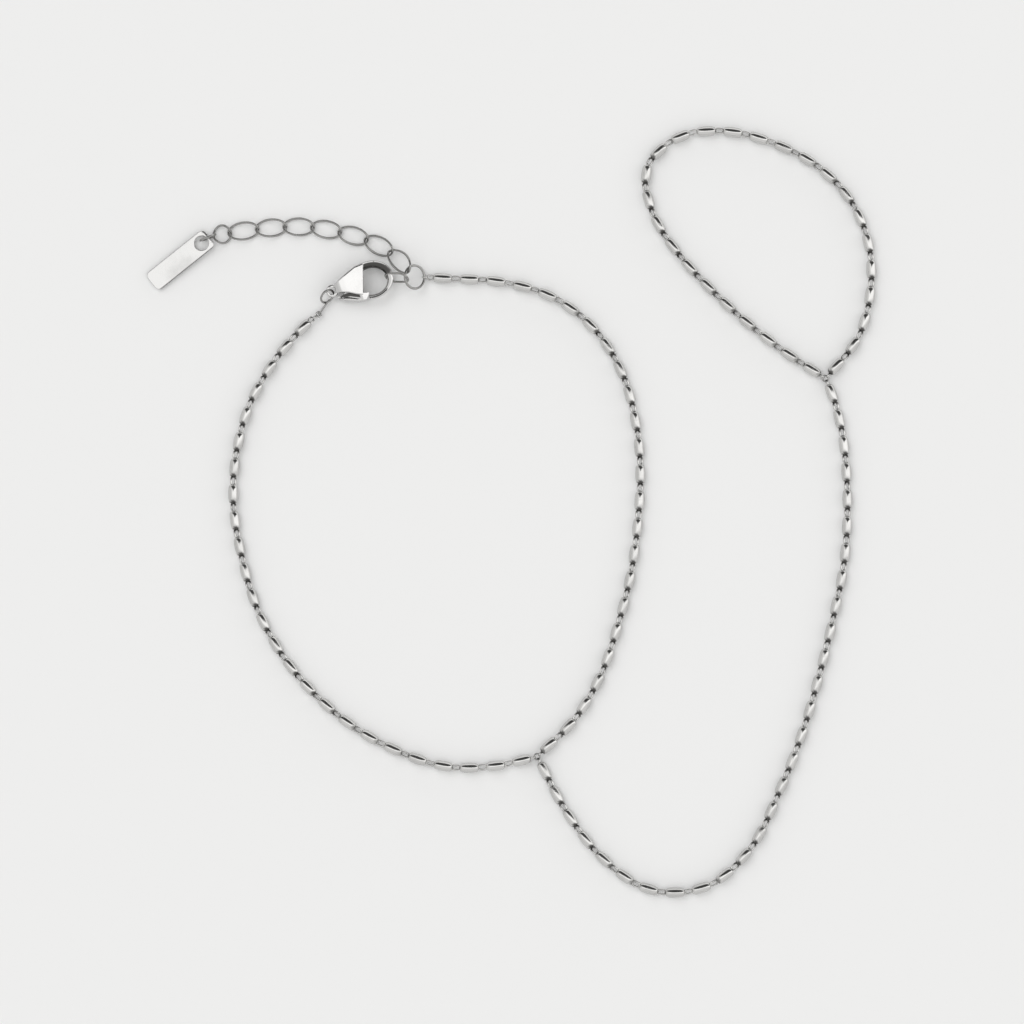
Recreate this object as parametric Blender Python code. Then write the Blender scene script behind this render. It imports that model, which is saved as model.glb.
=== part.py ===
"""Hand chain: a wrist chain with a lobster clasp and an extender, a chain over the hand and a finger loop.

It lies flat on a surface at z = 0. Lengths are metres, +Z is up, the origin is under the middle.
"""

import math

import bmesh
import bpy
from mathutils import Matrix, Vector

# The whole chain as it is laid out
LAID_WIDTH = 0.0867
LAID_LENGTH = 0.0915

# Bars of the chain and the thin necks between them
BAR_RADIUS = 0.0006
BAR_SHOULDER = 0.0002
LINK_PITCH = 0.0032
NECK_LENGTH = 0.00095
NECK_RADIUS = 0.00022
CHAIN_SIDES = 10

# Little eye at the end of each run of chain
EYE_RADIUS = 0.000235
EYE_WIRE = 0.00009
CLASP_EYE_RADIUS = 0.0003
RING_EYE_RADIUS = 0.000325
EYE_LEAD = 0.00042
CLASP_EYE_LEAD = 0.00145
RING_EYE_LEAD = 0.00105
EYE_SEGMENTS = 10

# Small ring where three runs meet
JUNCTION_RADIUS = 0.00035
JUNCTION_WIRE = 0.00009
JUNCTION_REACH = 0.00003

# Jump ring that ends the wrist chain
END_RING_RADIUS = 0.00138
END_RING_WIRE = 0.00015
END_RING_TILT = math.radians(35)
EXTENDER_HOLD = math.radians(138)
CATCH_HOLD = math.radians(185)

# Extender links
EXTENDER_LINKS = 7
EXTENDER_LENGTH = 0.00364
EXTENDER_WIDTH = 0.002
EXTENDER_WIRE = 0.00014
EXTENDER_TWIST = math.radians(40)
EXTENDER_PLAY = 0.00006
LAST_LINK_LENGTH = 0.00214

# Tag and its ring
TAG_LENGTH = 0.0088
TAG_WIDTH = 0.0025
TAG_THICKNESS = 0.00045
TAG_CORNER = 0.00045
TAG_EDGE = 0.00006
TAG_HOLE_RADIUS = 0.00086
TAG_RIM = 0.00032
TAG_CORNER_STEPS = 4
TAG_HOLE_SIDES = 24
TAG_ANGLE = math.radians(218.5)
TAG_RING_HEADING = math.radians(202)
TAG_RING_RADIUS = 0.00096
TAG_RING_WIRE = 0.00013

# Clasp: the chain's eye keeps its offset from the hole in the tail
CLASP_EYE_OFFSET = (-0.00161, -0.00274)
CLASP_ANGLE = math.radians(16)
CLASP_REACH = 0.00753
CLASP_HALF_WIDTH = 0.00228
CLASP_THICKNESS = 0.0022
CLASP_CHAMFER = 0.00022
HOOK_LENGTH = 0.00278
HOOK_NOSE_BAND = 0.00085
HOOK_NOSE_HEIGHT = 0.0011
MOUTH_LENGTH = 0.00183
MOUTH_WIDTH = 0.00155
MOUTH_DROP = 0.00018
HOOK_START = math.radians(128)
HOOK_TIP = math.radians(-112)
HOOK_OVERRUN = math.radians(12)
HOOK_STEPS = 16
HOOK_SIDES = 12
SLOT_HEIGHT = 0.0012
TAIL_RADIUS = 0.00076
TAIL_HOLE_RADIUS = 0.00043
TAIL_THICKNESS = 0.00055
TAIL_SIDES = 24
TAIL_HOLE_SIDES = 18
RIVET_RADIUS = 0.00022
RIVET_SIDES = 16

# Lever of the clasp
LEVER_THICKNESS = 0.0011
LEVER_HUB_RADIUS = 0.00055
LEVER_HUB_START = math.radians(10)
LEVER_HUB_END = math.radians(200)
LEVER_HUB_STEPS = 10
LEVER_HOLE_PLAY = 0.00005
GATE_GAP = 0.00006
GATE_LAP = math.radians(2)
GATE_STEPS = 5
TIP_CUT_START = math.radians(-70)
TIP_CUT_END = math.radians(-10)
TIP_CUT_STEPS = 10

# Rings and links about the clasp
CLASP_RING_RADIUS = 0.00087
CLASP_RING_WIRE = 0.00013
CLASP_RING_HEADING = math.radians(226)
CLASP_RING_ROLL = math.radians(-51)
TAIL_LINK_HOLD = math.radians(60)
TAIL_LINK_WIDTH = 0.00062
TAIL_LINK_WIRE = 0.0001
CATCH_LINK_WIDTH = 0.00176
CATCH_LINK_WIRE = 0.00013
CATCH_LINK_ROLL = math.radians(58)
CATCH_LINK_SEAT = math.radians(-8)

# Room left between wires that hook into each other, and below a piece that lies on another
HOOK_PLAY = 0.00004
LIFT_PLAY = 0.00003
RING_SEGMENTS = 16
LINK_SEGMENTS = 14
WIRE_SIDES = 6
ROUTE_SPACING = 0.0001

# Where the runs of chain meet, and the few points that each run is laid through, as shares of the laid size
LAYOUT = {
    "wrist_junction": [(0.0358, -0.3202)],
    "finger_junction": [(0.4318, 0.1717)],
    "end_ring": [(-0.1321, 0.3034)],
    "clasp_nose": [(-0.1616, 0.3080)],
    "wrist_left": [
        (-0.2794, 0.2439), (-0.3208, 0.2001), (-0.3576, 0.1410), (-0.3768, 0.0773), (-0.3814, 0.0099),
        (-0.3707, -0.0562), (-0.3513, -0.1214), (-0.3194, -0.1810), (-0.2759, -0.2331), (-0.2223, -0.2778),
        (-0.1609, -0.3112), (-0.0933, -0.3327), (-0.0254, -0.3332),
    ],
    "wrist_right": [
        (0.0870, -0.2725), (0.1233, -0.2146), (0.1467, -0.1501), (0.1644, -0.0845), (0.1740, -0.0177),
        (0.1777, 0.0504), (0.1711, 0.1174), (0.1510, 0.1823), (0.1115, 0.2390), (0.0543, 0.2789),
        (-0.0150, 0.2976), (-0.0807, 0.3015),
    ],
    "hand": [
        (0.0739, -0.3888), (0.1236, -0.4510), (0.1907, -0.4938), (0.2698, -0.4893), (0.3306, -0.4380),
        (0.3673, -0.3685), (0.3979, -0.2955), (0.4215, -0.2212), (0.4413, -0.1449), (0.4574, -0.0682),
        (0.4620, 0.0098), (0.4569, 0.0889), (0.4432, 0.1460),
    ],
    "finger": [
        (0.3748, 0.2069), (0.3230, 0.2451), (0.2745, 0.2874), (0.2307, 0.3328), (0.1954, 0.3846),
        (0.1857, 0.4444), (0.2313, 0.4864), (0.2965, 0.4934), (0.3604, 0.4779), (0.4193, 0.4489),
        (0.4655, 0.4044), (0.4912, 0.3469), (0.4937, 0.2841), (0.4763, 0.2235),
    ],
    "extender": [
        (-0.1707, 0.3421), (-0.2053, 0.3552), (-0.2411, 0.3639), (-0.2768, 0.3694), (-0.3126, 0.3694),
        (-0.3495, 0.3661), (-0.3850, 0.3614), (-0.4160, 0.3562),
    ],
}

# Clasp plates: lower and upper edge points and thickness, as shares of reach, half width and thickness
PLATE_SECTIONS = [
    {"low": (0.03, -0.17), "high": (0.035, 0.25), "thick": 0.42},
    {"low": (0.13, -0.21), "high": (0.12, 0.42), "thick": 0.90},
    {"low": (0.25, -0.34), "high": (0.24, 0.61), "thick": 1.0},
    {"low": (0.36, -0.53), "high": (0.34, 0.76), "thick": 1.0},
    {"low": (0.44, -0.64), "high": (0.44, 0.90), "thick": 1.0},
    {"low": (0.452, -0.65), "high": (0.585, 0.95), "thick": 1.0},
]
SLOT_OUTLINE = [(0.148, -1.4), (0.137, -0.15), (0.20, 0.15), (0.42, 0.33), (0.56, 0.36), (0.53, -1.4)]
PIVOT = (0.252, -0.09)
LEVER_OUTER_EDGE = [
    (0.075, -0.50), (0.125, -0.62), (0.195, -0.73), (0.276, -0.83), (0.365, -0.94), (0.455, -1.0),
]
LEVER_INNER_EDGE = [(0.56, -0.60), (0.48, -0.56), (0.41, -0.45), (0.36, -0.26)]
LEVER_THUMB_EDGE = [(0.165, -0.33), (0.125, -0.40), (0.080, -0.37), (0.055, -0.43)]

CHAIN_HEIGHT = BAR_RADIUS * math.cos(math.pi / CHAIN_SIDES)
CLASP_MIDDLE = CLASP_THICKNESS / 2
UP = Vector((0, 0, 1))

# Steel of each kind of piece, and the angle from which an edge of it stays sharp
STEEL = {
    "chain": {"colour": (0.72, 0.71, 0.69), "roughness": 0.18, "sharp": math.radians(35)},
    "wire": {"colour": (0.66, 0.65, 0.64), "roughness": 0.16, "sharp": math.radians(80)},
    "hook": {"colour": (0.80, 0.79, 0.78), "roughness": 0.10, "sharp": math.radians(40)},
    "lever": {"colour": (0.80, 0.79, 0.78), "roughness": 0.10, "sharp": math.radians(35)},
    "tag": {"colour": (0.70, 0.69, 0.68), "roughness": 0.24, "sharp": math.radians(35)},
}


def clear_scene():
    for old in list(bpy.data.objects):
        bpy.data.objects.remove(old, do_unlink=True)


def steel(name, kind):
    material = bpy.data.materials.new(name)
    material.use_nodes = True
    shader = material.node_tree.nodes["Principled BSDF"]
    shader.inputs["Base Color"].default_value = (*STEEL[kind]["colour"], 1)
    shader.inputs["Metallic"].default_value = 1
    shader.inputs["Roughness"].default_value = STEEL[kind]["roughness"]
    return material


def add_piece(name, bm, kind, root):
    """Turns a bmesh into a named object with a material of its own, held by the root."""
    bmesh.ops.recalc_face_normals(bm, faces=bm.faces)
    mesh = bpy.data.meshes.new(name)
    bm.to_mesh(mesh)
    bm.free()
    mesh.shade_smooth()
    mesh.set_sharp_from_angle(angle=STEEL[kind]["sharp"])
    mesh.materials.append(steel(name + "_steel", kind))
    piece = bpy.data.objects.new(name, mesh)
    bpy.context.collection.objects.link(piece)
    piece.parent = root
    return piece


def add_tool(name, bm, root):
    """A shape that only cuts or adds to another one, and isn't a piece itself."""
    bmesh.ops.recalc_face_normals(bm, faces=bm.faces)
    mesh = bpy.data.meshes.new(name)
    bm.to_mesh(mesh)
    bm.free()
    tool = bpy.data.objects.new(name, mesh)
    bpy.context.collection.objects.link(tool)
    tool.parent = root
    tool.hide_render = True
    tool.display_type = "WIRE"
    return tool


def combine(piece, tool, operation):
    boolean = piece.modifiers.new(tool.name, "BOOLEAN")
    boolean.object = tool
    boolean.operation = operation
    boolean.solver = "EXACT"


def loft(bm, rings, closed):
    """Skins rings of equally many points; an open loft gets a flat cap at each end."""
    loops = [[bm.verts.new(point) for point in ring] for ring in rings]
    count = len(loops)
    for index in range(count if closed else count - 1):
        near = loops[index]
        far = loops[(index + 1) % count]
        for side in range(len(near)):
            after = (side + 1) % len(near)
            bm.faces.new((near[side], near[after], far[after], far[side]))
    if not closed:
        bm.faces.new(loops[0][::-1])
        bm.faces.new(loops[-1])


def round_section(centre, side, up, radius, sides, start=0.0):
    turns = [start + 2 * math.pi * step / sides for step in range(sides)]
    return [centre + side * (radius * math.cos(turn)) + up * (radius * math.sin(turn)) for turn in turns]


def arc(radius, start, end, steps):
    """Points at one distance from the origin, from one angle to another."""
    turns = [start + (end - start) * step / steps for step in range(steps + 1)]
    return [Vector((radius * math.cos(turn), radius * math.sin(turn), 0)) for turn in turns]


def closed_wire(bm, path, wire, matrix=None):
    """A round wire along a closed path that nowhere runs along its own z axis."""
    matrix = matrix or Matrix.Identity(4)
    rings = []
    for index, point in enumerate(path):
        tangent = (path[(index + 1) % len(path)] - path[index - 1]).normalized()
        side = tangent.cross(UP).normalized()
        ring = round_section(point, side, side.cross(tangent), wire, WIRE_SIDES)
        rings.append([matrix @ corner for corner in ring])
    loft(bm, rings, closed=True)


def link_path(length, width, segments, twist=0.0, straight=False):
    """Middle line of an oval link; a straight-sided one has half-round ends; twist turns its two ends apart."""
    half_length = length / 2
    half_width = width / 2
    points = []
    for step in range(segments):
        turn = 2 * math.pi * step / segments
        across = half_width * math.sin(turn)
        if straight:
            middle = half_length - half_width
            along = half_width * math.cos(turn)
            along += middle * (round(math.cos(turn), 6) > 0) - middle * (round(math.cos(turn), 6) < 0)
        else:
            along = half_length * math.cos(turn)
        roll = twist * along / half_length
        points.append(Vector((along, across * math.cos(roll), across * math.sin(roll))))
    return points


def frame(centre, along, roll=0.0):
    """Axes with x along a direction and y level, then rolled about x."""
    x_axis = Vector(along).normalized()
    y_axis = UP.cross(x_axis).normalized()
    z_axis = x_axis.cross(y_axis)
    turn = Matrix((x_axis, y_axis, z_axis)).transposed().to_4x4()
    return Matrix.Translation(centre) @ turn @ Matrix.Rotation(roll, 4, "X")


def add_link(name, path, wire, place, root):
    bm = bmesh.new()
    closed_wire(bm, path, wire)
    link = add_piece(name, bm, "wire", root)
    link.matrix_local = place


def smooth_route(points):
    """A Catmull-Rom curve through the points, as closely spaced points with their distance along it."""
    ends = [2 * points[0] - points[1]] + list(points) + [2 * points[-1] - points[-2]]
    curve = []
    for before, start, end, after in zip(ends, ends[1:], ends[2:], ends[3:]):
        steps = max(2, int((end - start).length / ROUTE_SPACING))
        for step in range(steps):
            t = step / steps
            slope = (end - before) * t
            bend = (2 * before - 5 * start + 4 * end - after) * t**2
            twist = (3 * start - before - 3 * end + after) * t**3
            curve.append((2 * start + slope + bend + twist) / 2)
    curve.append(points[-1].copy())
    travel = [0.0]
    for near, far in zip(curve, curve[1:]):
        travel.append(travel[-1] + (far - near).length)
    return curve, travel


def at_distance(curve, travel, distance):
    """Point and direction at a distance along a curve."""
    index = 0
    while index < len(travel) - 2 and travel[index + 1] < distance:
        index += 1
    share = (distance - travel[index]) / (travel[index + 1] - travel[index])
    tangent = (curve[index + 1] - curve[index]).normalized()
    return curve[index].lerp(curve[index + 1], share), tangent


def route_points(name, height):
    """The points of a route in the layout, all at one height."""
    return [Vector((x * LAID_WIDTH, y * LAID_LENGTH, height)) for x, y in LAYOUT[name]]


def place_point(name, height=0.0):
    return route_points(name, height)[0]


def add_chain(name, points, start, end, root):
    """One run of chain, bars and necks fused, with an eye at each end.

    start and end give each eye's radius, its lead to the first bar and whether it lies level.
    """
    curve, travel = smooth_route(points)
    first = start["lead"]
    last = travel[-1] - end["lead"]
    count = max(1, round((last - first + NECK_LENGTH) / LINK_PITCH))
    pitch = (last - first + NECK_LENGTH) / count
    stations = [(start["radius"], EYE_WIRE)]
    for index in range(count):
        near = first + index * pitch
        far = near + pitch - NECK_LENGTH
        stations += [(near, NECK_RADIUS), (near + BAR_SHOULDER, BAR_RADIUS)]
        stations += [(far - BAR_SHOULDER, BAR_RADIUS), (far, NECK_RADIUS)]
    stations.append((travel[-1] - end["radius"], EYE_WIRE))
    half_side = math.pi / CHAIN_SIDES
    rings = []
    for distance, radius in stations:
        centre, tangent = at_distance(curve, travel, distance)
        side = tangent.cross(UP).normalized()
        rings.append(round_section(centre, side, UP, radius, CHAIN_SIDES, half_side - math.pi / 2))
    bm = bmesh.new()
    loft(bm, rings, closed=False)
    chain = add_piece(name, bm, "chain", root)
    for label, eye, distance in (("start", start, 0.0), ("end", end, travel[-1])):
        centre, tangent = at_distance(curve, travel, distance)
        path = link_path(2 * eye["radius"], 2 * eye["radius"], EYE_SEGMENTS)
        bm = bmesh.new()
        closed_wire(bm, path, EYE_WIRE, frame(centre, tangent, 0.0 if eye["level"] else math.pi / 2))
        combine(chain, add_tool(name + "_eye_" + label, bm, root), "UNION")


def plan_direction(start, end):
    return Vector((end[0] - start[0], end[1] - start[1], 0)).normalized()


def junction_eye_centre(junction, toward):
    centre = place_point(junction, CHAIN_HEIGHT)
    return centre + plan_direction(centre, toward) * (JUNCTION_RADIUS + JUNCTION_REACH)


def end_ring_place():
    """The end ring leans: its side by the chain is low and its side by the clasp is high."""
    height = CHAIN_HEIGHT + END_RING_RADIUS * math.sin(END_RING_TILT)
    return Matrix.Translation(place_point("end_ring", height)) @ Matrix.Rotation(END_RING_TILT, 4, "Y")


def on_end_ring(turn):
    return end_ring_place() @ Vector((END_RING_RADIUS * math.cos(turn), END_RING_RADIUS * math.sin(turn), 0))


def add_extender(root):
    """Twisted oval links in a row, then one short round link; returns where the tag's ring hooks in."""
    oval = link_path(EXTENDER_LENGTH, EXTENDER_WIDTH, LINK_SEGMENTS, EXTENDER_TWIST)
    round_path = link_path(LAST_LINK_LENGTH, LAST_LINK_LENGTH, LINK_SEGMENTS, EXTENDER_TWIST)
    rest_height = EXTENDER_WIRE + max(point.z for point in oval + round_path)
    hold = on_end_ring(EXTENDER_HOLD)
    curve, travel = smooth_route([hold, *route_points("extender", rest_height)])
    step = EXTENDER_LENGTH - 2 * EXTENDER_WIRE - EXTENDER_PLAY
    tip = hold - at_distance(curve, travel, 0.0)[1] * (END_RING_WIRE + EXTENDER_WIRE + HOOK_PLAY)
    for index in range(EXTENDER_LINKS):
        ahead = at_distance(curve, travel, step * (index + 1))[0]
        along = (ahead - tip).normalized()
        place = frame(tip + along * EXTENDER_LENGTH / 2, along)
        add_link("extender_link_%02d" % (index + 1), oval, EXTENDER_WIRE, place, root)
        tip = tip + along * step
    along = (curve[-1] - tip).normalized()
    place = frame(tip + along * LAST_LINK_LENGTH / 2, along)
    add_link("extender_end_ring", round_path, EXTENDER_WIRE, place, root)
    return tip + along * LAST_LINK_LENGTH


def add_tag(hook, root):
    """The tag lies with its holed end lifted by the ring's wire, and the ring stands through the hole."""
    heading = Vector((math.cos(TAG_RING_HEADING), math.sin(TAG_RING_HEADING), 0))
    ring_centre = Vector((hook.x, hook.y, TAG_RING_RADIUS + TAG_RING_WIRE))
    ring_centre += heading * (TAG_RING_RADIUS - TAG_RING_WIRE - EXTENDER_WIRE - HOOK_PLAY)
    path = link_path(2 * TAG_RING_RADIUS, 2 * TAG_RING_RADIUS, RING_SEGMENTS)
    add_link("tag_ring", path, TAG_RING_WIRE, frame(ring_centre, heading, math.pi / 2), root)
    lift = 2 * TAG_RING_WIRE + LIFT_PLAY
    slope = math.asin(lift / (TAG_LENGTH - TAG_RIM / 2))
    bm = bmesh.new()
    bmesh.ops.create_cube(bm, size=1)
    bmesh.ops.scale(bm, verts=bm.verts, vec=(TAG_LENGTH, TAG_WIDTH, TAG_THICKNESS))
    bmesh.ops.translate(bm, verts=bm.verts, vec=(TAG_LENGTH / 2, 0, TAG_THICKNESS / 2))
    corners = [edge for edge in bm.edges if abs(edge.verts[0].co.z - edge.verts[1].co.z) > TAG_THICKNESS / 2]
    round_off = {"profile": 0.5, "affect": "EDGES"}
    bmesh.ops.bevel(bm, geom=corners, offset=TAG_CORNER, segments=TAG_CORNER_STEPS, **round_off)
    rim = [edge for edge in bm.edges if edge.calc_face_angle(0) > math.radians(60)]
    bmesh.ops.bevel(bm, geom=rim, offset=TAG_EDGE, segments=1, **round_off)
    tag = add_piece("tag", bm, "tag", root)
    place = Matrix.Translation(Vector((ring_centre.x, ring_centre.y, lift)))
    place = place @ Matrix.Rotation(TAG_ANGLE, 4, "Z") @ Matrix.Rotation(slope, 4, "Y")
    place = place @ Matrix.Translation((-TAG_RIM / 2, 0, 0))
    tag.matrix_local = place
    middle = Vector((TAG_RIM + TAG_HOLE_RADIUS, 0, 0))
    hole = pin(middle, TAG_HOLE_RADIUS, -TAG_THICKNESS, 2 * TAG_THICKNESS, TAG_HOLE_SIDES)
    tag_hole = add_tool("tag_hole", hole, root)
    tag_hole.matrix_local = place
    combine(tag, tag_hole, "DIFFERENCE")


def clasp_point(share, height=0.0):
    return Vector((share[0] * CLASP_REACH, share[1] * CLASP_HALF_WIDTH, height))


def clasp_matrix():
    turned = Matrix.Translation(place_point("clasp_nose")) @ Matrix.Rotation(CLASP_ANGLE, 4, "Z")
    return turned @ Matrix.Translation((-CLASP_REACH, 0, 0))


def hook_edges(turn):
    """Outer and inner point of the hook's band at an angle about its middle."""
    hook = Vector((CLASP_REACH - HOOK_LENGTH, 0, CLASP_MIDDLE))
    mouth = Vector((CLASP_REACH - HOOK_NOSE_BAND - MOUTH_LENGTH, -MOUTH_DROP, CLASP_MIDDLE))
    outer = hook + Vector((HOOK_LENGTH * math.cos(turn), CLASP_HALF_WIDTH * math.sin(turn), 0))
    inner = mouth + Vector((MOUTH_LENGTH * math.cos(turn), MOUTH_WIDTH * math.sin(turn), 0))
    return outer, inner


def hook_height(turn):
    """Full height at the plates, easing down to the nose's height and staying so to the tip."""
    share = min(1.0, (HOOK_START - turn) / HOOK_START)
    ease = share * share * (3 - 2 * share)
    return CLASP_THICKNESS + (HOOK_NOSE_HEIGHT - CLASP_THICKNESS) * ease


def prism(outline, low, high):
    """An upright solid over an outline."""
    bm = bmesh.new()
    loft(bm, [[Vector((p.x, p.y, height)) for p in outline] for height in (low, high)], closed=False)
    return bm


def pin(place, radius, low, high, sides):
    bm = bmesh.new()
    bmesh.ops.create_cone(bm, cap_ends=True, segments=sides, radius1=radius, radius2=radius, depth=high - low)
    bmesh.ops.translate(bm, verts=bm.verts, vec=(place.x, place.y, (low + high) / 2))
    return bm


def gate_radius():
    """Distance from the pivot to the near corner of the hook's tip, less the gap."""
    outer, inner = hook_edges(HOOK_TIP)
    pivot = clasp_point(PIVOT, CLASP_MIDDLE)
    return ((outer + inner) / 2 - pivot).length - GATE_GAP


def add_clasp_body(root):
    bm = bmesh.new()
    rings = []
    spins = [2 * math.pi * (side + 0.5) / HOOK_SIDES for side in range(HOOK_SIDES)]
    for step in range(HOOK_STEPS + 1):
        turn = HOOK_START + (HOOK_TIP - HOOK_OVERRUN - HOOK_START) * step / HOOK_STEPS
        outer, inner = hook_edges(turn)
        across = (outer - inner) / 2
        tall = UP * hook_height(turn) / 2
        middle = (outer + inner) / 2
        rings.append([middle + across * math.cos(spin) + tall * math.sin(spin) for spin in spins])
    loft(bm, rings, closed=False)
    body = add_piece("clasp_body", bm, "hook", root)

    pivot = clasp_point(PIVOT)
    sweep = arc(gate_radius() + GATE_GAP, TIP_CUT_START, TIP_CUT_END, TIP_CUT_STEPS)
    sector = [pivot] + [pivot + point for point in sweep]
    tip_cut = add_tool("clasp_tip_cut", prism(sector, -CLASP_THICKNESS, 2 * CLASP_THICKNESS), root)

    bm = bmesh.new()
    sections = []
    for row in PLATE_SECTIONS:
        low = clasp_point(row["low"], CLASP_MIDDLE)
        high = clasp_point(row["high"], CLASP_MIDDLE)
        out = (high - low).normalized() * CLASP_CHAMFER
        half = UP * (row["thick"] * CLASP_THICKNESS / 2)
        ease = UP * CLASP_CHAMFER * row["thick"]
        sections.append([low + half - ease, low + out + half, high - out + half, high + half - ease,
                         high - half + ease, high - out - half, low + out - half, low - half + ease])
    loft(bm, sections, closed=False)
    plates = add_tool("clasp_plates", bm, root)

    tail_low = CLASP_MIDDLE - TAIL_THICKNESS / 2
    tail_high = CLASP_MIDDLE + TAIL_THICKNESS / 2
    tail = add_tool("clasp_tail", pin(Vector(), TAIL_RADIUS, tail_low, tail_high, TAIL_SIDES), root)
    hole = pin(Vector(), TAIL_HOLE_RADIUS, -CLASP_THICKNESS, 2 * CLASP_THICKNESS, TAIL_HOLE_SIDES)
    tail_hole = add_tool("clasp_tail_hole", hole, root)

    half_slot = SLOT_HEIGHT / 2
    slot_outline = [clasp_point(share) for share in SLOT_OUTLINE]
    slot = add_tool("clasp_slot", prism(slot_outline, CLASP_MIDDLE - half_slot, CLASP_MIDDLE + half_slot), root)
    rivet_overlap = (CLASP_THICKNESS - SLOT_HEIGHT) / 4
    rivet_low = CLASP_MIDDLE - half_slot - rivet_overlap
    rivet_high = CLASP_THICKNESS - rivet_low
    rivet = add_tool("clasp_rivet", pin(pivot, RIVET_RADIUS, rivet_low, rivet_high, RIVET_SIDES), root)

    combine(body, tip_cut, "DIFFERENCE")
    combine(body, plates, "UNION")
    combine(body, tail, "UNION")
    combine(body, tail_hole, "DIFFERENCE")
    combine(body, slot, "DIFFERENCE")
    combine(body, rivet, "UNION")
    for part in (body, tip_cut, plates, tail, tail_hole, slot, rivet):
        part.matrix_local = clasp_matrix()


def add_clasp_lever(root):
    """The sprung lever, closed: its origin is on the rivet's axis."""
    pivot = clasp_point(PIVOT)
    reach = gate_radius()
    outer, inner = hook_edges(HOOK_TIP)
    outer_corner = clasp_point(LEVER_OUTER_EDGE[-1])
    low_turn = math.atan2(outer_corner.y - pivot.y, outer.x - pivot.x) - GATE_LAP
    high_turn = math.atan2(inner.y - pivot.y, inner.x - pivot.x) + GATE_LAP
    outline = [clasp_point(share) - pivot for share in LEVER_OUTER_EDGE]
    outline += arc(reach, low_turn, high_turn, GATE_STEPS)
    outline += [clasp_point(share) - pivot for share in LEVER_INNER_EDGE]
    outline += arc(LEVER_HUB_RADIUS, LEVER_HUB_START, LEVER_HUB_END, LEVER_HUB_STEPS)
    outline += [clasp_point(share) - pivot for share in LEVER_THUMB_EDGE]
    half = LEVER_THICKNESS / 2
    lever = add_piece("clasp_lever", prism(outline, -half, half), "lever", root)
    hole_radius = RIVET_RADIUS + LEVER_HOLE_PLAY
    hole = pin(Vector(), hole_radius, -LEVER_THICKNESS, LEVER_THICKNESS, RIVET_SIDES)
    lever_hole = add_tool("lever_hole", hole, root)
    combine(lever, lever_hole, "DIFFERENCE")
    for part in (lever, lever_hole):
        part.matrix_local = clasp_matrix() @ Matrix.Translation((pivot.x, pivot.y, CLASP_MIDDLE))


def clasp_ring_place():
    """The jump ring passes through the middle of the tail's hole and leans over to the chain."""
    heading = Vector((math.cos(CLASP_RING_HEADING), math.sin(CLASP_RING_HEADING), 0))
    hole = clasp_matrix() @ Vector((0, 0, CLASP_MIDDLE))
    return frame(hole + heading * CLASP_RING_RADIUS, heading, CLASP_RING_ROLL)


def add_clasp_rings(root):
    """The jump ring on the clasp's tail, the link from it to the chain, and the link in the clasp's hook."""
    place = clasp_ring_place()
    path = link_path(2 * CLASP_RING_RADIUS, 2 * CLASP_RING_RADIUS, RING_SEGMENTS)
    add_link("clasp_ring", path, CLASP_RING_WIRE, place, root)

    ring_turn = Vector((math.cos(TAIL_LINK_HOLD), math.sin(TAIL_LINK_HOLD), 0))
    hold = place @ (ring_turn * CLASP_RING_RADIUS)
    eye = chain_ends()["clasp"]
    along = plan_direction(eye, hold)
    far = Vector((hold.x, hold.y, 0)) + along * (CLASP_RING_WIRE + TAIL_LINK_WIRE + HOOK_PLAY)
    length = (far - Vector((eye.x, eye.y, 0))).length
    centre = (far + Vector((eye.x, eye.y, 0))) / 2 + UP * CHAIN_HEIGHT
    path = link_path(length, TAIL_LINK_WIDTH, LINK_SEGMENTS, straight=True)
    add_link("tail_link", path, TAIL_LINK_WIRE, frame(centre, along, math.pi / 2), root)

    outer, inner = hook_edges(CATCH_LINK_SEAT)
    seat = clasp_matrix() @ ((outer + inner) / 2)
    hold = on_end_ring(CATCH_HOLD)
    along = (hold - seat).normalized()
    near = seat - along * ((outer - inner).length / 2 + CATCH_LINK_WIRE + HOOK_PLAY)
    far = hold + along * (END_RING_WIRE + CATCH_LINK_WIRE + HOOK_PLAY)
    path = link_path((far - near).length, CATCH_LINK_WIDTH, RING_SEGMENTS, straight=True)
    add_link("catch_link", path, CATCH_LINK_WIRE, frame((near + far) / 2, along, CATCH_LINK_ROLL), root)


def chain_ends():
    """Where the wrist chain's two outer eyes sit: by the tail link, and about the end ring's low side."""
    tail = clasp_matrix().translation
    ring_side = on_end_ring(0.0)
    return {
        "clasp": Vector((tail.x + CLASP_EYE_OFFSET[0], tail.y + CLASP_EYE_OFFSET[1], CHAIN_HEIGHT)),
        "ring": Vector((ring_side.x, ring_side.y, CHAIN_HEIGHT)),
    }


def add_chains(root):
    plain = {"radius": EYE_RADIUS, "lead": EYE_LEAD, "level": False}
    at_clasp = {"radius": CLASP_EYE_RADIUS, "lead": CLASP_EYE_LEAD, "level": True}
    at_ring = {"radius": RING_EYE_RADIUS, "lead": RING_EYE_LEAD, "level": False}
    ends = chain_ends()
    left = route_points("wrist_left", CHAIN_HEIGHT)
    right = route_points("wrist_right", CHAIN_HEIGHT)
    hand = route_points("hand", CHAIN_HEIGHT)
    finger = route_points("finger", CHAIN_HEIGHT)
    left = [ends["clasp"], *left, junction_eye_centre("wrist_junction", left[-1])]
    right = [junction_eye_centre("wrist_junction", right[0]), *right, ends["ring"]]
    hand_start = junction_eye_centre("wrist_junction", hand[0])
    hand_end = junction_eye_centre("finger_junction", hand[-1])
    finger_start = junction_eye_centre("finger_junction", finger[0])
    finger_end = junction_eye_centre("finger_junction", finger[-1])
    add_chain("wrist_chain_left", left, at_clasp, plain, root)
    add_chain("wrist_chain_right", right, plain, at_ring, root)
    add_chain("hand_chain", [hand_start, *hand, hand_end], plain, plain, root)
    add_chain("finger_loop_chain", [finger_start, *finger, finger_end], plain, plain, root)


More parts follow.
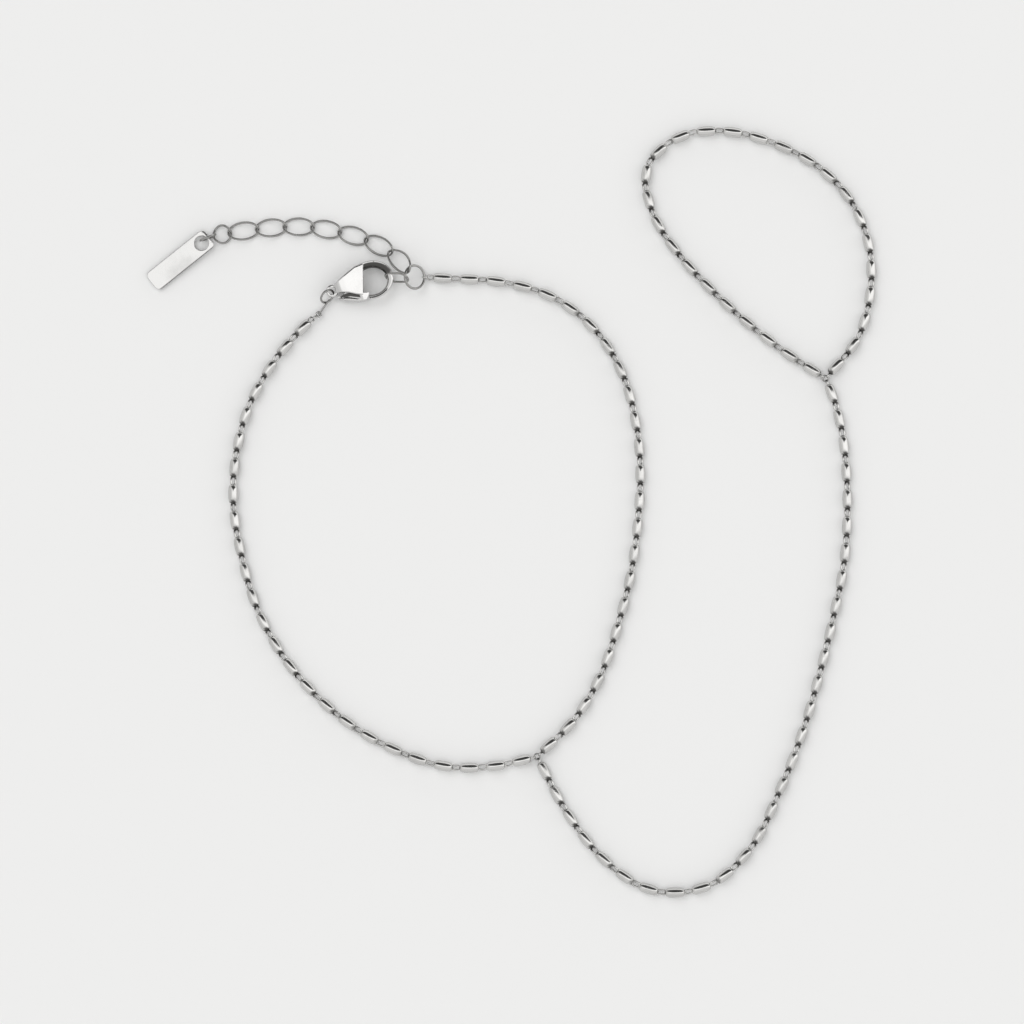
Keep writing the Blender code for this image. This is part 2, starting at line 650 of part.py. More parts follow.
def add_rings(root):
    path = link_path(2 * JUNCTION_RADIUS, 2 * JUNCTION_RADIUS, RING_SEGMENTS)
    for name in ("wrist_junction", "finger_junction"):
        add_link(name + "_ring", path, JUNCTION_WIRE, Matrix.Translation(place_point(name, CHAIN_HEIGHT)), root)
    path = link_path(2 * END_RING_RADIUS, 2 * END_RING_RADIUS, RING_SEGMENTS)
    add_link("end_ring", path, END_RING_WIRE, end_ring_place(), root)


def centre_over_origin(root):
    """Moves the whole chain so that the middle of its outline lies over the origin."""
    bpy.context.view_layer.update()
    corners = []
    for piece in bpy.data.objects:
        if piece.type == "MESH" and not piece.hide_render:
            corners += [piece.matrix_world @ vertex.co for vertex in piece.data.vertices]
    middle_x = (min(c.x for c in corners) + max(c.x for c in corners)) / 2
    middle_y = (min(c.y for c in corners) + max(c.y for c in corners)) / 2
    root.location = (-middle_x, -middle_y, 0)


def main():
    clear_scene()
    root = bpy.data.objects.new("hand_chain_root", None)
    bpy.context.collection.objects.link(root)
    add_chains(root)
    add_rings(root)
    add_clasp_body(root)
    add_clasp_lever(root)
    add_clasp_rings(root)
    add_tag(add_extender(root), root)
    centre_over_origin(root)


main()
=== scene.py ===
"""Hand chain on a pale surface: chain runs, lobster clasp, extender, tag, steel finishes, light, camera.

Lengths are metres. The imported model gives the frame, and every new piece stands for one of its nodes.
"""

import math

import bmesh
import bpy
from bpy.props import FloatProperty, FloatVectorProperty, PointerProperty
from mathutils import Matrix, Vector


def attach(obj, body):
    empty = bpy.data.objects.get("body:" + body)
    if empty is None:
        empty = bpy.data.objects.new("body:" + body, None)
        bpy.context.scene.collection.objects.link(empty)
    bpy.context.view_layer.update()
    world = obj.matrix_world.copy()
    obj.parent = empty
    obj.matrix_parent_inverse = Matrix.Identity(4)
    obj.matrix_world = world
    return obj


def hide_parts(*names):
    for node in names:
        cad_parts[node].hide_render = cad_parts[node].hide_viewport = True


bl_info = {
    "name": "Hand Chain",
    "version": (1, 0, 0),
    "blender": (4, 5, 0),
    "location": "3D View > Sidebar > Hand Chain",
    "description": "Builds a steel hand chain laid flat, with its finishes, light and camera",
    "category": "Add Mesh",
}

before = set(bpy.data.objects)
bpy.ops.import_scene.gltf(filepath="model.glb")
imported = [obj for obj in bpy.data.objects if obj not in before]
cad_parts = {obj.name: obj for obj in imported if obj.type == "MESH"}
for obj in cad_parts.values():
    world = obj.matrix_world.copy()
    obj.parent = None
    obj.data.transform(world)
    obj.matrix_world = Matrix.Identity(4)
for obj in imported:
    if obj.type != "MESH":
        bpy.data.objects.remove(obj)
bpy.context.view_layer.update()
MM = 0.001
UP = Vector((0, 0, 1))

# Middle line of each run of chain in millimetres, and the eye and lead at each end
RUNS = {
    "wrist_chain_left": {
        "points": [
            (-22.92, 23.52), (-24.28, 22.47), (-27.87, 18.46), (-31.06, 13.05), (-32.73, 7.23),
            (-33.13, 1.06), (-32.20, -4.99), (-30.52, -10.95), (-27.75, -16.41), (-23.98, -21.18),
            (-19.33, -25.27),
            (-14.01, -28.32), (-8.15, -30.29), (-2.26, -30.33), (2.67, -29.23),
        ],
        "start": {"eye": 0.30, "lead": 1.45},
        "end": {"eye": 0.235, "lead": 0.42},
    },
    "wrist_chain_right": {
        "points": [
            (3.31, -28.88), (7.48, -24.78), (10.63, -19.48), (12.66, -13.58), (14.19, -7.58),
            (15.03, -1.47), (15.35, 4.76), (14.77, 10.90), (13.03, 16.83), (9.61, 22.02),
            (4.65, 25.67), (-1.36, 27.38),
            (-7.06, 27.74), (-10.38, 27.91),
        ],
        "start": {"eye": 0.235, "lead": 0.42},
        "end": {"eye": 0.325, "lead": 1.05},
    },
    "hand_chain": {
        "points": [
            (3.22, -29.48), (6.35, -35.42), (10.66, -41.11), (16.47, -45.03), (23.33, -44.62),
            (28.60, -39.92), (31.78, -33.56), (34.44, -26.89), (36.48, -20.09), (38.20, -13.11),
            (39.60, -6.09), (40.00, 1.05),
            (39.55, 8.29), (38.37, 13.51), (37.52, 15.51),
        ],
        "start": {"eye": 0.235, "lead": 0.42},
        "end": {"eye": 0.235, "lead": 0.42},
    },
    "finger_loop_chain": {
        "points": [
            (37.06, 16.07), (32.43, 19.08), (27.94, 22.58), (23.74, 26.45), (19.94, 30.60), (16.88, 35.34),
            (16.04, 40.82), (19.99, 44.66), (25.65, 45.30), (31.19, 43.88), (36.29, 41.23), (40.30, 37.16),
            (42.53, 31.89), (42.74, 26.15), (41.23, 20.60), (37.62, 16.16),
        ],
        "start": {"eye": 0.235, "lead": 0.42},
        "end": {"eye": 0.235, "lead": 0.42},
    },
}

# Bars and the small rings between them, in millimetres. Each bar's end towards the front of the picture
# carries painted shade, which stands for a shaded opening there
LINK_PITCH = 3.2
JOINT_GAP = 0.95
JOINT_REACH = 0.09
JOINT_OVERLAP = 0.10
JOINT_STEPS = 16
JOINT_SIDES = 7
BAR_SIDES = 14
SOCKET_DEPTH = 0.16
SOCKET_RADIUS = 0.12
SOCKET_MOUTH = 0.15
SHADED_END_SIDE = Vector((0.3, -1.0, 0.0))
END_SHADE_LENGTH = 0.40
END_SHADE_HALF_WIDTH = 0.3

# From a bar's flat end to its middle: distance from the end in millimetres and share of the full radius
BAR_SHOULDER = [(0.04, 0.66), (0.13, 0.80), (0.28, 0.895), (0.52, 0.96), (0.80, 0.99)]

# Roll of each small ring at the ends of a run, in degrees: one hooks into the next about a quarter turned
START_ROLLS = {
    "wrist_chain_left": [5, 80, 20],
    "wrist_chain_right": [88],
    "hand_chain": [88],
    "finger_loop_chain": [88],
}
END_ROLLS = {
    "wrist_chain_left": [88],
    "wrist_chain_right": [15, 88],
    "hand_chain": [88],
    "finger_loop_chain": [88],
}

# Wire rings: centre, facing, roll about it in degrees, radius to the wire's middle, radius of the wire
RINGS = {
    "wrist_junction_ring": ((3.044, -29.145, 0.571), (1, 0, 0), 0, 0.35, 0.09),
    "finger_junction_ring": ((37.377, 15.864, 0.571), (1, 0, 0), 0, 0.35, 0.09),
    "end_ring": ((-11.513, 27.914, 1.362), (0.8192, 0, -0.5736), 0, 1.38, 0.15),
    "clasp_ring": ((-21.914, 25.634, 1.1), (-0.6947, -0.7193, 0), -51, 0.87, 0.13),
    "tag_ring": ((-36.101, 32.614, 1.09), (-0.9272, -0.3746, 0), 90, 0.96, 0.13),
}

# Straight-sided links: the same, with length and width between the wire's middles in the radius's place
LINKS = {
    "tail_link": ((-22.319, 24.366, 0.571), (0.5787, 0.8155, 0), 90, 2.075, 0.62, 0.10),
    "catch_link": ((-13.638, 27.837, 1.556), (0.8585, -0.0366, 0.5115), 58, 2.966, 1.76, 0.13),
}


def placing(centre, along, roll=0.0):
    """Axes with x along a direction and y level, then rolled about x, with its centre in millimetres."""
    x_axis = Vector(along).normalized()
    y_axis = UP.cross(x_axis).normalized()
    z_axis = x_axis.cross(y_axis)
    turn = Matrix((x_axis, y_axis, z_axis)).transposed().to_4x4()
    return Matrix.Translation(Vector(centre) * MM) @ turn @ Matrix.Rotation(math.radians(roll), 4, "X")


def deselect_all():
    if bpy.context.object and bpy.context.object.mode != "OBJECT":
        bpy.ops.object.mode_set(mode="OBJECT")
    bpy.ops.object.select_all(action="DESELECT")


def pick(piece):
    deselect_all()
    piece.select_set(True)
    bpy.context.view_layer.objects.active = piece


def settle(piece, matrix):
    """Puts a piece in its place and applies it, so that the object stays at the origin."""
    pick(piece)
    piece.matrix_world = matrix
    bpy.ops.object.transform_apply(location=True, rotation=True, scale=True)


def copied(master, matrix):
    """A copy of a master shape with a mesh of its own, in its place."""
    piece = master.copy()
    piece.data = master.data.copy()
    piece.data.transform(matrix)
    bpy.context.collection.objects.link(piece)
    return piece


def joined(pieces, name):
    deselect_all()
    for piece in pieces:
        piece.select_set(True)
    bpy.context.view_layer.objects.active = pieces[0]
    bpy.ops.object.join()
    whole = bpy.context.object
    whole.name = name
    whole.data.name = name
    return whole


def remove(piece):
    bpy.data.objects.remove(piece, do_unlink=True)


def smoothed(piece, degrees):
    pick(piece)
    bpy.ops.object.shade_smooth_by_angle(angle=math.radians(degrees))


def skinned(name, sections):
    """Extrudes a ring of points through a row of sections and closes both ends."""
    deselect_all()
    bpy.ops.mesh.primitive_circle_add(vertices=len(sections[0]), radius=MM)
    piece = bpy.context.object
    piece.name = name
    bpy.ops.object.mode_set(mode="EDIT")
    bpy.ops.mesh.select_all(action="SELECT")
    before = [vertex.co.copy() for vertex in bmesh.from_edit_mesh(piece.data).verts]
    for index, section in enumerate(sections):
        if index:
            bpy.ops.mesh.extrude_region_move()
        mesh = bmesh.from_edit_mesh(piece.data)
        for vertex in [vertex for vertex in mesh.verts if vertex.select]:
            nearest = min(range(len(before)), key=lambda place: (vertex.co - before[place]).length_squared)
            vertex.co = section[nearest]
        bmesh.update_edit_mesh(piece.data)
        before = [Vector(point) for point in section]
    bpy.ops.mesh.select_all(action="SELECT")
    bpy.ops.mesh.fill_holes(sides=0)
    bpy.ops.mesh.normals_make_consistent(inside=False)
    bpy.ops.object.mode_set(mode="OBJECT")
    return piece


def combined(piece, tool, operation):
    """Adds or cuts a shape and removes the tool."""
    pick(piece)
    boolean = piece.modifiers.new(tool.name, "BOOLEAN")
    boolean.object = tool
    boolean.operation = operation
    boolean.solver = "EXACT"
    bpy.ops.object.modifier_apply(modifier=boolean.name)
    remove(tool)


def edge_rounded(piece, width, degrees, steps):
    pick(piece)
    rounding = piece.modifiers.new("edge_rounding", "BEVEL")
    rounding.width = width
    rounding.segments = steps
    rounding.limit_method = "ANGLE"
    rounding.angle_limit = math.radians(degrees)
    rounding.use_clamp_overlap = True
    bpy.ops.object.modifier_apply(modifier=rounding.name)


def flat_faces_kept(piece):
    """Weighs the normals by face size, so that a flat face between rounded edges mirrors as a flat one."""
    pick(piece)
    weighing = piece.modifiers.new("flat_faces", "WEIGHTED_NORMAL")
    weighing.keep_sharp = True
    weighing.weight = 80
    bpy.ops.object.modifier_apply(modifier=weighing.name)


def finished(piece, body, nodes, slot):
    """Gives a piece its finish, its body, the nodes that it replaces and its material slot."""
    piece.data.materials.clear()
    piece.data.materials.append(steel(slot))
    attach(piece, body)
    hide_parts(*nodes)


def smooth_route(points):
    """A Catmull-Rom curve through the points, closely spaced, with the distance along it."""
    ends = [2 * points[0] - points[1]] + list(points) + [2 * points[-1] - points[-2]]
    curve = []
    for before, start, end, after in zip(ends, ends[1:], ends[2:], ends[3:]):
        steps = max(2, int((end - start).length / (0.1 * MM)))
        for step in range(steps):
            t = step / steps
            slope = (end - before) * t
            bend = (2 * before - 5 * start + 4 * end - after) * t**2
            twist = (3 * start - before - 3 * end + after) * t**3
            curve.append((2 * start + slope + bend + twist) / 2)
    curve.append(points[-1].copy())
    travel = [0.0]
    for near, far in zip(curve, curve[1:]):
        travel.append(travel[-1] + (far - near).length)
    return curve, travel


def at_distance(route, distance):
    curve, travel = route
    index = 0
    while index < len(travel) - 2 and travel[index + 1] < distance:
        index += 1
    share = (distance - travel[index]) / (travel[index + 1] - travel[index])
    return curve[index].lerp(curve[index + 1], share)


# Shader node groups for effects that several finishes share
def new_group(name, inputs, outputs):
    group = bpy.data.node_groups.new(name, "ShaderNodeTree")
    for label, kind, value in inputs:
        socket = group.interface.new_socket(label, in_out="INPUT", socket_type=kind)
        if value is not None:
            socket.default_value = value
    for label, kind in outputs:
        group.interface.new_socket(label, in_out="OUTPUT", socket_type=kind)
    return group, group.nodes.new("NodeGroupInput"), group.nodes.new("NodeGroupOutput")


def node(tree, kind, **values):
    made = tree.nodes.new(kind)
    for label, value in values.items():
        setattr(made, label, value)
    return made


def math_node(tree, operation, first, second):
    made = node(tree, "ShaderNodeMath", operation=operation)
    for place, value in enumerate((first, second)):
        if isinstance(value, (int, float)):
            made.inputs[place].default_value = value
        else:
            tree.links.new(value, made.inputs[place])
    return made.outputs[0]


def range_node(tree, value, low, high, start, end):
    made = node(tree, "ShaderNodeMapRange", interpolation_type="SMOOTHSTEP")
    tree.links.new(value, made.inputs["Value"])
    for label, amount in (("From Min", low), ("From Max", high), ("To Min", start), ("To Max", end)):
        made.inputs[label].default_value = amount
    return made.outputs["Result"]


def mix_node(tree, factor, first, second):
    """Mixes two colours, each a value or a socket."""
    made = node(tree, "ShaderNodeMix", data_type="RGBA")
    tree.links.new(factor, made.inputs["Factor"])
    for label, colour in (("A", first), ("B", second)):
        if isinstance(colour, bpy.types.NodeSocket):
            tree.links.new(colour, made.inputs[label])
        else:
            made.inputs[label].default_value = colour
    return made.outputs["Result"]


def dot_node(tree, vector, axis):
    made = node(tree, "ShaderNodeVectorMath", operation="DOT_PRODUCT")
    tree.links.new(vector, made.inputs[0])
    made.inputs[1].default_value = axis
    return made.outputs["Value"]


def place_along(tree, vector, axis, origin):
    """A point's place along an axis from an origin, in millimetres."""
    return math_node(tree, "SUBTRACT", dot_node(tree, vector, axis / MM), axis.dot(origin) / MM)


def product(tree, *values):
    whole = values[0]
    for value in values[1:]:
        whole = math_node(tree, "MULTIPLY", whole, value)
    return whole


def bump_node(tree, height, distance, normal=None):
    made = node(tree, "ShaderNodeBump")
    made.inputs["Strength"].default_value = 1.0
    made.inputs["Distance"].default_value = distance
    tree.links.new(height, made.inputs["Height"])
    if normal:
        tree.links.new(normal, made.inputs["Normal"])
    return made.outputs["Normal"]


def scratches_group():
    """Fine crossing scratches from two long, thin noises."""
    group, entry, leave = new_group(
        "fine_scratches",
        [("Vector", "NodeSocketVector", None), ("Scale", "NodeSocketFloat", 900.0)],
        [("Mask", "NodeSocketFloat"), ("Height", "NodeSocketFloat")],
    )
    masks = []
    for turn, stretch in ((0.35, (1.0, 0.06, 0.3)), (-0.9, (0.05, 1.0, 0.3))):
        mapping = node(group, "ShaderNodeMapping")
        mapping.inputs["Rotation"].default_value = (0.2, 0.1, turn)
        mapping.inputs["Scale"].default_value = stretch
        group.links.new(entry.outputs["Vector"], mapping.inputs["Vector"])
        noise = node(group, "ShaderNodeTexNoise")
        noise.inputs["Detail"].default_value = 3.0
        group.links.new(mapping.outputs["Vector"], noise.inputs["Vector"])
        group.links.new(entry.outputs["Scale"], noise.inputs["Scale"])
        masks.append(range_node(group, noise.outputs["Fac"], 0.62, 0.70, 0.0, 1.0))
    mask = math_node(group, "MAXIMUM", masks[0], masks[1])
    group.links.new(mask, leave.inputs["Mask"])
    group.links.new(math_node(group, "MULTIPLY", mask, -1.0), leave.inputs["Height"])
    return group


def smudge_group():
    """Cloudy handling marks: a soft mask and a lighter and a darker tone of the metal."""
    group, entry, leave = new_group(
        "handling_marks",
        [("Vector", "NodeSocketVector", None), ("Scale", "NodeSocketFloat", 300.0),
         ("Light", "NodeSocketColor", (0.8, 0.8, 0.8, 1)),
         ("Dark", "NodeSocketColor", (0.6, 0.6, 0.6, 1))],
        [("Color", "NodeSocketColor"), ("Mask", "NodeSocketFloat")],
    )
    noise = node(group, "ShaderNodeTexNoise")
    noise.inputs["Detail"].default_value = 4.0
    noise.inputs["Roughness"].default_value = 0.55
    group.links.new(entry.outputs["Vector"], noise.inputs["Vector"])
    group.links.new(entry.outputs["Scale"], noise.inputs["Scale"])
    mask = range_node(group, noise.outputs["Fac"], 0.38, 0.66, 0.0, 1.0)
    tone = mix_node(group, mask, entry.outputs["Light"], entry.outputs["Dark"])
    group.links.new(tone, leave.inputs["Color"])
    group.links.new(mask, leave.inputs["Mask"])
    return group


def ripple_group():
    """The slow waviness that polishing leaves in a small metal part."""
    group, entry, leave = new_group(
        "polished_ripple",
        [("Vector", "NodeSocketVector", None), ("Scale", "NodeSocketFloat", 500.0)],
        [("Height", "NodeSocketFloat")],
    )
    noise = node(group, "ShaderNodeTexNoise")
    noise.inputs["Detail"].default_value = 1.0
    group.links.new(entry.outputs["Vector"], noise.inputs["Vector"])
    group.links.new(entry.outputs["Scale"], noise.inputs["Scale"])
    group.links.new(noise.outputs["Fac"], leave.inputs["Height"])
    return group


def shared_group(name, maker):
    return bpy.data.node_groups.get(name) or maker()


def placed_group(tree, group, coordinates, values):
    made = node(tree, "ShaderNodeGroup", node_tree=group)
    tree.links.new(coordinates, made.inputs["Vector"])
    for label, value in values.items():
        made.inputs[label].default_value = value
    return made


# Dark tone of painted shade, which the masks of the bars, the clasp and the tag mix into the colour
PAINTED_SHADE_TONE = (0.085, 0.083, 0.08, 1)
MARK_DARKENING = 0.9
SCRATCH_ROUGHNESS = 0.12


def bar_end_shade_mask(tree, vector):
    """Painted shade at one end of each bar and on half of each joint ring, read from a value on their
    points.
    """
    return node(tree, "ShaderNodeAttribute", attribute_name="open_end").outputs["Fac"]


def clasp_shade_group():
    """Painted shade on the clasp: on the inner wall of its arch and in the groove of its lever."""
    group, entry, leave = new_group(
        "clasp_recesses", [("Vector", "NodeSocketVector", None)], [("Mask", "NodeSocketFloat")])

    def offset(value, amount):
        return math_node(group, "SUBTRACT", value, amount)

    vector = entry.outputs["Vector"]
    origin = CLASP_PLACE.translation
    u = place_along(group, vector, CLASP_PLACE.col[0].xyz, origin)
    v = place_along(group, vector, CLASP_PLACE.col[1].xyz, origin)
    z = place_along(group, vector, UP, Vector((0, 0, 0)))
    across = math_node(group, "DIVIDE", offset(u, MOUTH_MIDDLE), MOUTH_LENGTH)
    rise = math_node(group, "DIVIDE", math_node(group, "ADD", v, MOUTH_DROP), MOUTH_WIDTH)
    square = math_node(group, "ADD", product(group, across, across), product(group, rise, rise))
    spread = math_node(group, "SQRT", square, 0.0)
    # The painted shade on the arch's inner wall starts past the cheeks' front edge, which runs from (3.40,
    # -1.48) up to (4.40, 2.17)
    cheek_edge = product(group, math_node(group, "ADD", v, 1.48), 0.274)
    past_cheek = math_node(group, "SUBTRACT", offset(u, 3.40), cheek_edge)
    wall = product(
        group,
        range_node(group, spread, 1.38, 1.47, 1.0, 0.0),
        range_node(group, v, 0.0, 0.45, 0.0, 1.0),
        range_node(group, past_cheek, 0.03, 0.10, 0.0, 1.0),
    )
    # The painted shade in the groove lies along the middle of the lever's back, which bends at the rivet
    bend = math_node(group, "MAXIMUM", offset(u, 1.9), 0.0)
    line = math_node(group, "SUBTRACT", -0.80, product(group, bend, 0.42))
    below = math_node(group, "SUBTRACT", line, v)
    groove = product(
        group,
        range_node(group, below, -0.08, 0.02, 0.0, 1.0),
        range_node(group, below, 0.34, 0.50, 1.0, 0.0),
        range_node(group, u, 0.62, 0.85, 0.0, 1.0),
        range_node(group, u, 2.95, 3.10, 1.0, 0.0),
        range_node(group, z, 1.68, 1.76, 1.0, 0.0),
    )
    group.links.new(math_node(group, "MAXIMUM", wall, groove), leave.inputs["Mask"])
    return group


# Painted shade of the clasp's arch wall and lever groove, as a mask
def clasp_shade_mask(tree, vector):
    return placed_group(tree, shared_group("clasp_recesses", clasp_shade_group), vector, {}).outputs["Mask"]


def tag_edge_shade_mask(tree, vector):
    """Painted shade along the tag's long edge at the lower right in the top view."""
    side = place_along(tree, vector, TAG_PLACE.col[1].xyz, TAG_PLACE.translation)
    return range_node(tree, side, 1.12, 1.22, 0.0, 0.9)


# Finish of each slot: material, name of its settings, spread of the roughness, scales of marks, scratches
# and ripple, depths of ripple and scratches in millimetres, mask of painted shade
FINISHES = {
    "chain_steel": ("bar_polish", "chain", 0.06, 420, 1500, 900, 0.004, 0.0015, bar_end_shade_mask),
    "wire_steel": ("wire_polish", "wire", 0.06, 500, 1800, 1200, 0.003, 0.0015, None),
    "clasp_steel": ("clasp_polish", "clasp", 0.05, 260, 1100, 450, 0.006, 0.001, clasp_shade_mask),
    "tag_steel": ("tag_polish", "tag", 0.08, 180, 1300, 260, 0.008, 0.002, tag_edge_shade_mask),
}


def steel(slot):
    """Polished steel: tone and roughness from marks, bump from scratches and ripple, and painted shade in
    a dark tone where a mask asks for it.
    """
    name, settings, spread, marks, scratches, ripple, ripple_depth, scratch_depth, painted_shade_mask = FINISHES[slot]
    known = bpy.data.materials.get(name)
    if known:
        return known
    finish = bpy.context.scene.hand_chain_finish
    colour = tuple(getattr(finish, settings + "_colour"))
    roughness = getattr(finish, settings + "_roughness")
    material = bpy.data.materials.new(name)
    material.use_nodes = True
    tree = material.node_tree
    shader = tree.nodes["Principled BSDF"]
    shader.inputs["Metallic"].default_value = 1.0
    vector = node(tree, "ShaderNodeTexCoord").outputs["Object"]
    dark = [channel * MARK_DARKENING for channel in colour]
    smudges = placed_group(tree, shared_group("handling_marks", smudge_group), vector,
                           {"Scale": marks, "Light": (*colour, 1), "Dark": (*dark, 1)})
    fine_lines = shared_group("fine_scratches", scratches_group)
    lines = placed_group(tree, fine_lines, vector, {"Scale": scratches})
    waves = placed_group(tree, shared_group("polished_ripple", ripple_group), vector, {"Scale": ripple})
    surface = smudges.outputs["Color"]
    # Painted shade: the mask mixes the dark tone into the colour
    if painted_shade_mask:
        surface = mix_node(tree, painted_shade_mask(tree, vector), surface, PAINTED_SHADE_TONE)
    tree.links.new(surface, shader.inputs["Base Color"])
    rough = range_node(tree, smudges.outputs["Mask"], 0.0, 1.0, roughness, roughness + spread)
    rough = math_node(tree, "ADD", rough, product(tree, lines.outputs["Mask"], SCRATCH_ROUGHNESS))
    tree.links.new(rough, shader.inputs["Roughness"])
    low = bump_node(tree, waves.outputs["Height"], ripple_depth * MM)
    fine = bump_node(tree, lines.outputs["Height"], scratch_depth * MM, low)
    tree.links.new(fine, shader.inputs["Normal"])
    return material


class HandChainSizes(bpy.types.PropertyGroup):
    """Sizes of the repeated shapes."""

    bar_radius: FloatProperty(name="Bar radius", description="Half the thickness of a bar at its middle",
                              default=0.592 * MM, unit="LENGTH", subtype="DISTANCE")
    bar_end_radius: FloatProperty(name="Bar end radius", description="Half the width of a bar's flat end",
                                  default=0.26 * MM, unit="LENGTH", subtype="DISTANCE")
    joint_wire: FloatProperty(name="Joint wire", description="Half the thickness of a joint ring's wire",
                              default=0.125 * MM, unit="LENGTH", subtype="DISTANCE")
    joint_width: FloatProperty(name="Joint width", description="Outside width of a ring between two bars",
                               default=0.80 * MM, unit="LENGTH", subtype="DISTANCE")
    extender_wire: FloatProperty(name="Extender wire", description="Half the extender wire's thickness",
                                 default=0.14 * MM, unit="LENGTH", subtype="DISTANCE")
    tag_length: FloatProperty(name="Tag length", description="Length of the tag", default=8.8 * MM,
                              unit="LENGTH", subtype="DISTANCE")
    tag_width: FloatProperty(name="Tag width", description="Width of the tag", default=2.5 * MM,
                             unit="LENGTH", subtype="DISTANCE")
    tag_thickness: FloatProperty(name="Tag thickness", description="Thickness of the tag",
                                 default=0.45 * MM, unit="LENGTH", subtype="DISTANCE")


class HandChainFinish(bpy.types.PropertyGroup):
    """Colours and polish of the metal and the surface."""

    chain_colour: FloatVectorProperty(name="Chain steel", description="Tone of the bars", subtype="COLOR",
                                      default=(0.62, 0.615, 0.605), min=0, max=1)
    chain_roughness: FloatProperty(name="Chain polish", description="Roughness of the bars", default=0.11)
    wire_colour: FloatVectorProperty(name="Wire steel", description="Tone of rings and links",
                                     subtype="COLOR", default=(0.35, 0.347, 0.34), min=0, max=1)
    wire_roughness: FloatProperty(name="Wire polish", description="Roughness of rings and links",
                                  default=0.12)
    clasp_colour: FloatVectorProperty(name="Clasp steel", description="Tone of the clasp", subtype="COLOR",
                                      default=(0.66, 0.655, 0.65), min=0, max=1)
    clasp_roughness: FloatProperty(name="Clasp polish", description="Roughness of the clasp", default=0.09)
    tag_colour: FloatVectorProperty(name="Tag steel", description="Tone of the tag", subtype="COLOR",
                                    default=(0.60, 0.597, 0.592), min=0, max=1)
    tag_roughness: FloatProperty(name="Tag polish", description="Roughness of the tag", default=0.16)
    floor_colour: FloatVectorProperty(name="Surface", description="Tone of the surface", subtype="COLOR",
                                      default=(0.828, 0.828, 0.826), min=0, max=1)


def bar_master(sizes, length):
    """One barrel link: a rounded bar with a small socket in each end."""
    half = length / 2
    wide = sizes.bar_radius
    end = sizes.bar_end_radius
    profile = [
        (half - SOCKET_DEPTH * MM, SOCKET_RADIUS * MM),
        (half - 0.02 * MM, SOCKET_MOUTH * MM),
        (half, 0.55 * end + 0.45 * SOCKET_MOUTH * MM),
        (half, end),
    ]
    profile += [(half - back * MM, share * wide) for back, share in BAR_SHOULDER]
    profile.append((0.0, wide))
    stations = [(-along, radius) for along, radius in profile]
    stations += [(along, radius) for along, radius in reversed(profile[:-1])]
    turns = [2 * math.pi * side / BAR_SIDES for side in range(BAR_SIDES)]
    sections = []
    for along, radius in stations:
        sections.append([Vector((along, radius * math.cos(a), radius * math.sin(a))) for a in turns])
    bar = skinned("bar_master", sections)
    smoothed(bar, 60)
    # Painted shade on top of the end towards the front, standing for a shaded opening
    inner = half - END_SHADE_LENGTH * MM
    end_shade_marked(bar, lambda place: place.x > inner and abs(place.y) < END_SHADE_HALF_WIDTH * MM and place.z > 0)
    return bar


def end_shade_marked(piece, chosen):
    """Marks the points of a shape that carry painted shade."""
    marks = piece.data.attributes.new("open_end", "FLOAT", "POINT")
    for vertex, mark in zip(piece.data.vertices, marks.data):
        mark.value = 1.0 if chosen(vertex.co) else 0.0


def end_shade_faded(piece, share):
    """Fades the painted shade of a copy."""
    for mark in piece.data.attributes["open_end"].data:
        mark.value *= share
    return piece


def shaded_end_side(along):
    """Turns a direction towards the end that carries painted shade, and says how strong that shade is:
    full where the direction runs up or down in the top view, none where it runs across.
    """
    if along.dot(SHADED_END_SIDE) < 0:
        along = -along
    steep = abs(along.normalized().y)
    return along, min(1.0, max(0.0, (steep - 0.35) / 0.4))


def ring_master(radius, wire, steps, sides):
    deselect_all()
    bpy.ops.mesh.primitive_torus_add(major_radius=radius, minor_radius=wire, major_segments=steps,
                                     minor_segments=sides)
    return bpy.context.object


WIRE_SMOOTHING = 80


def long_ring(length, width, wire, steps, sides):
    """A ring whose two halves are drawn apart, so that it has straight sides."""
    ring = ring_master(width / 2, wire, steps, sides)
    shift = (length - width) / 2
    bpy.ops.object.mode_set(mode="EDIT")
    for way in (1, -1):
        bpy.ops.mesh.select_all(action="DESELECT")
        mesh = bmesh.from_edit_mesh(ring.data)
        for vertex in mesh.verts:
            vertex.select = vertex.co.x * way > width * 0.02
        mesh.select_flush_mode()
        bmesh.update_edit_mesh(ring.data)
        bpy.ops.transform.translate(value=(way * shift, 0, 0))
    bpy.ops.object.mode_set(mode="OBJECT")
    smoothed(ring, WIRE_SMOOTHING)
    return ring


def joint_roll(index):
    """An uneven roll for each ring between two bars, in degrees."""
    return 28 * math.sin(2.4 * index + 1.3)


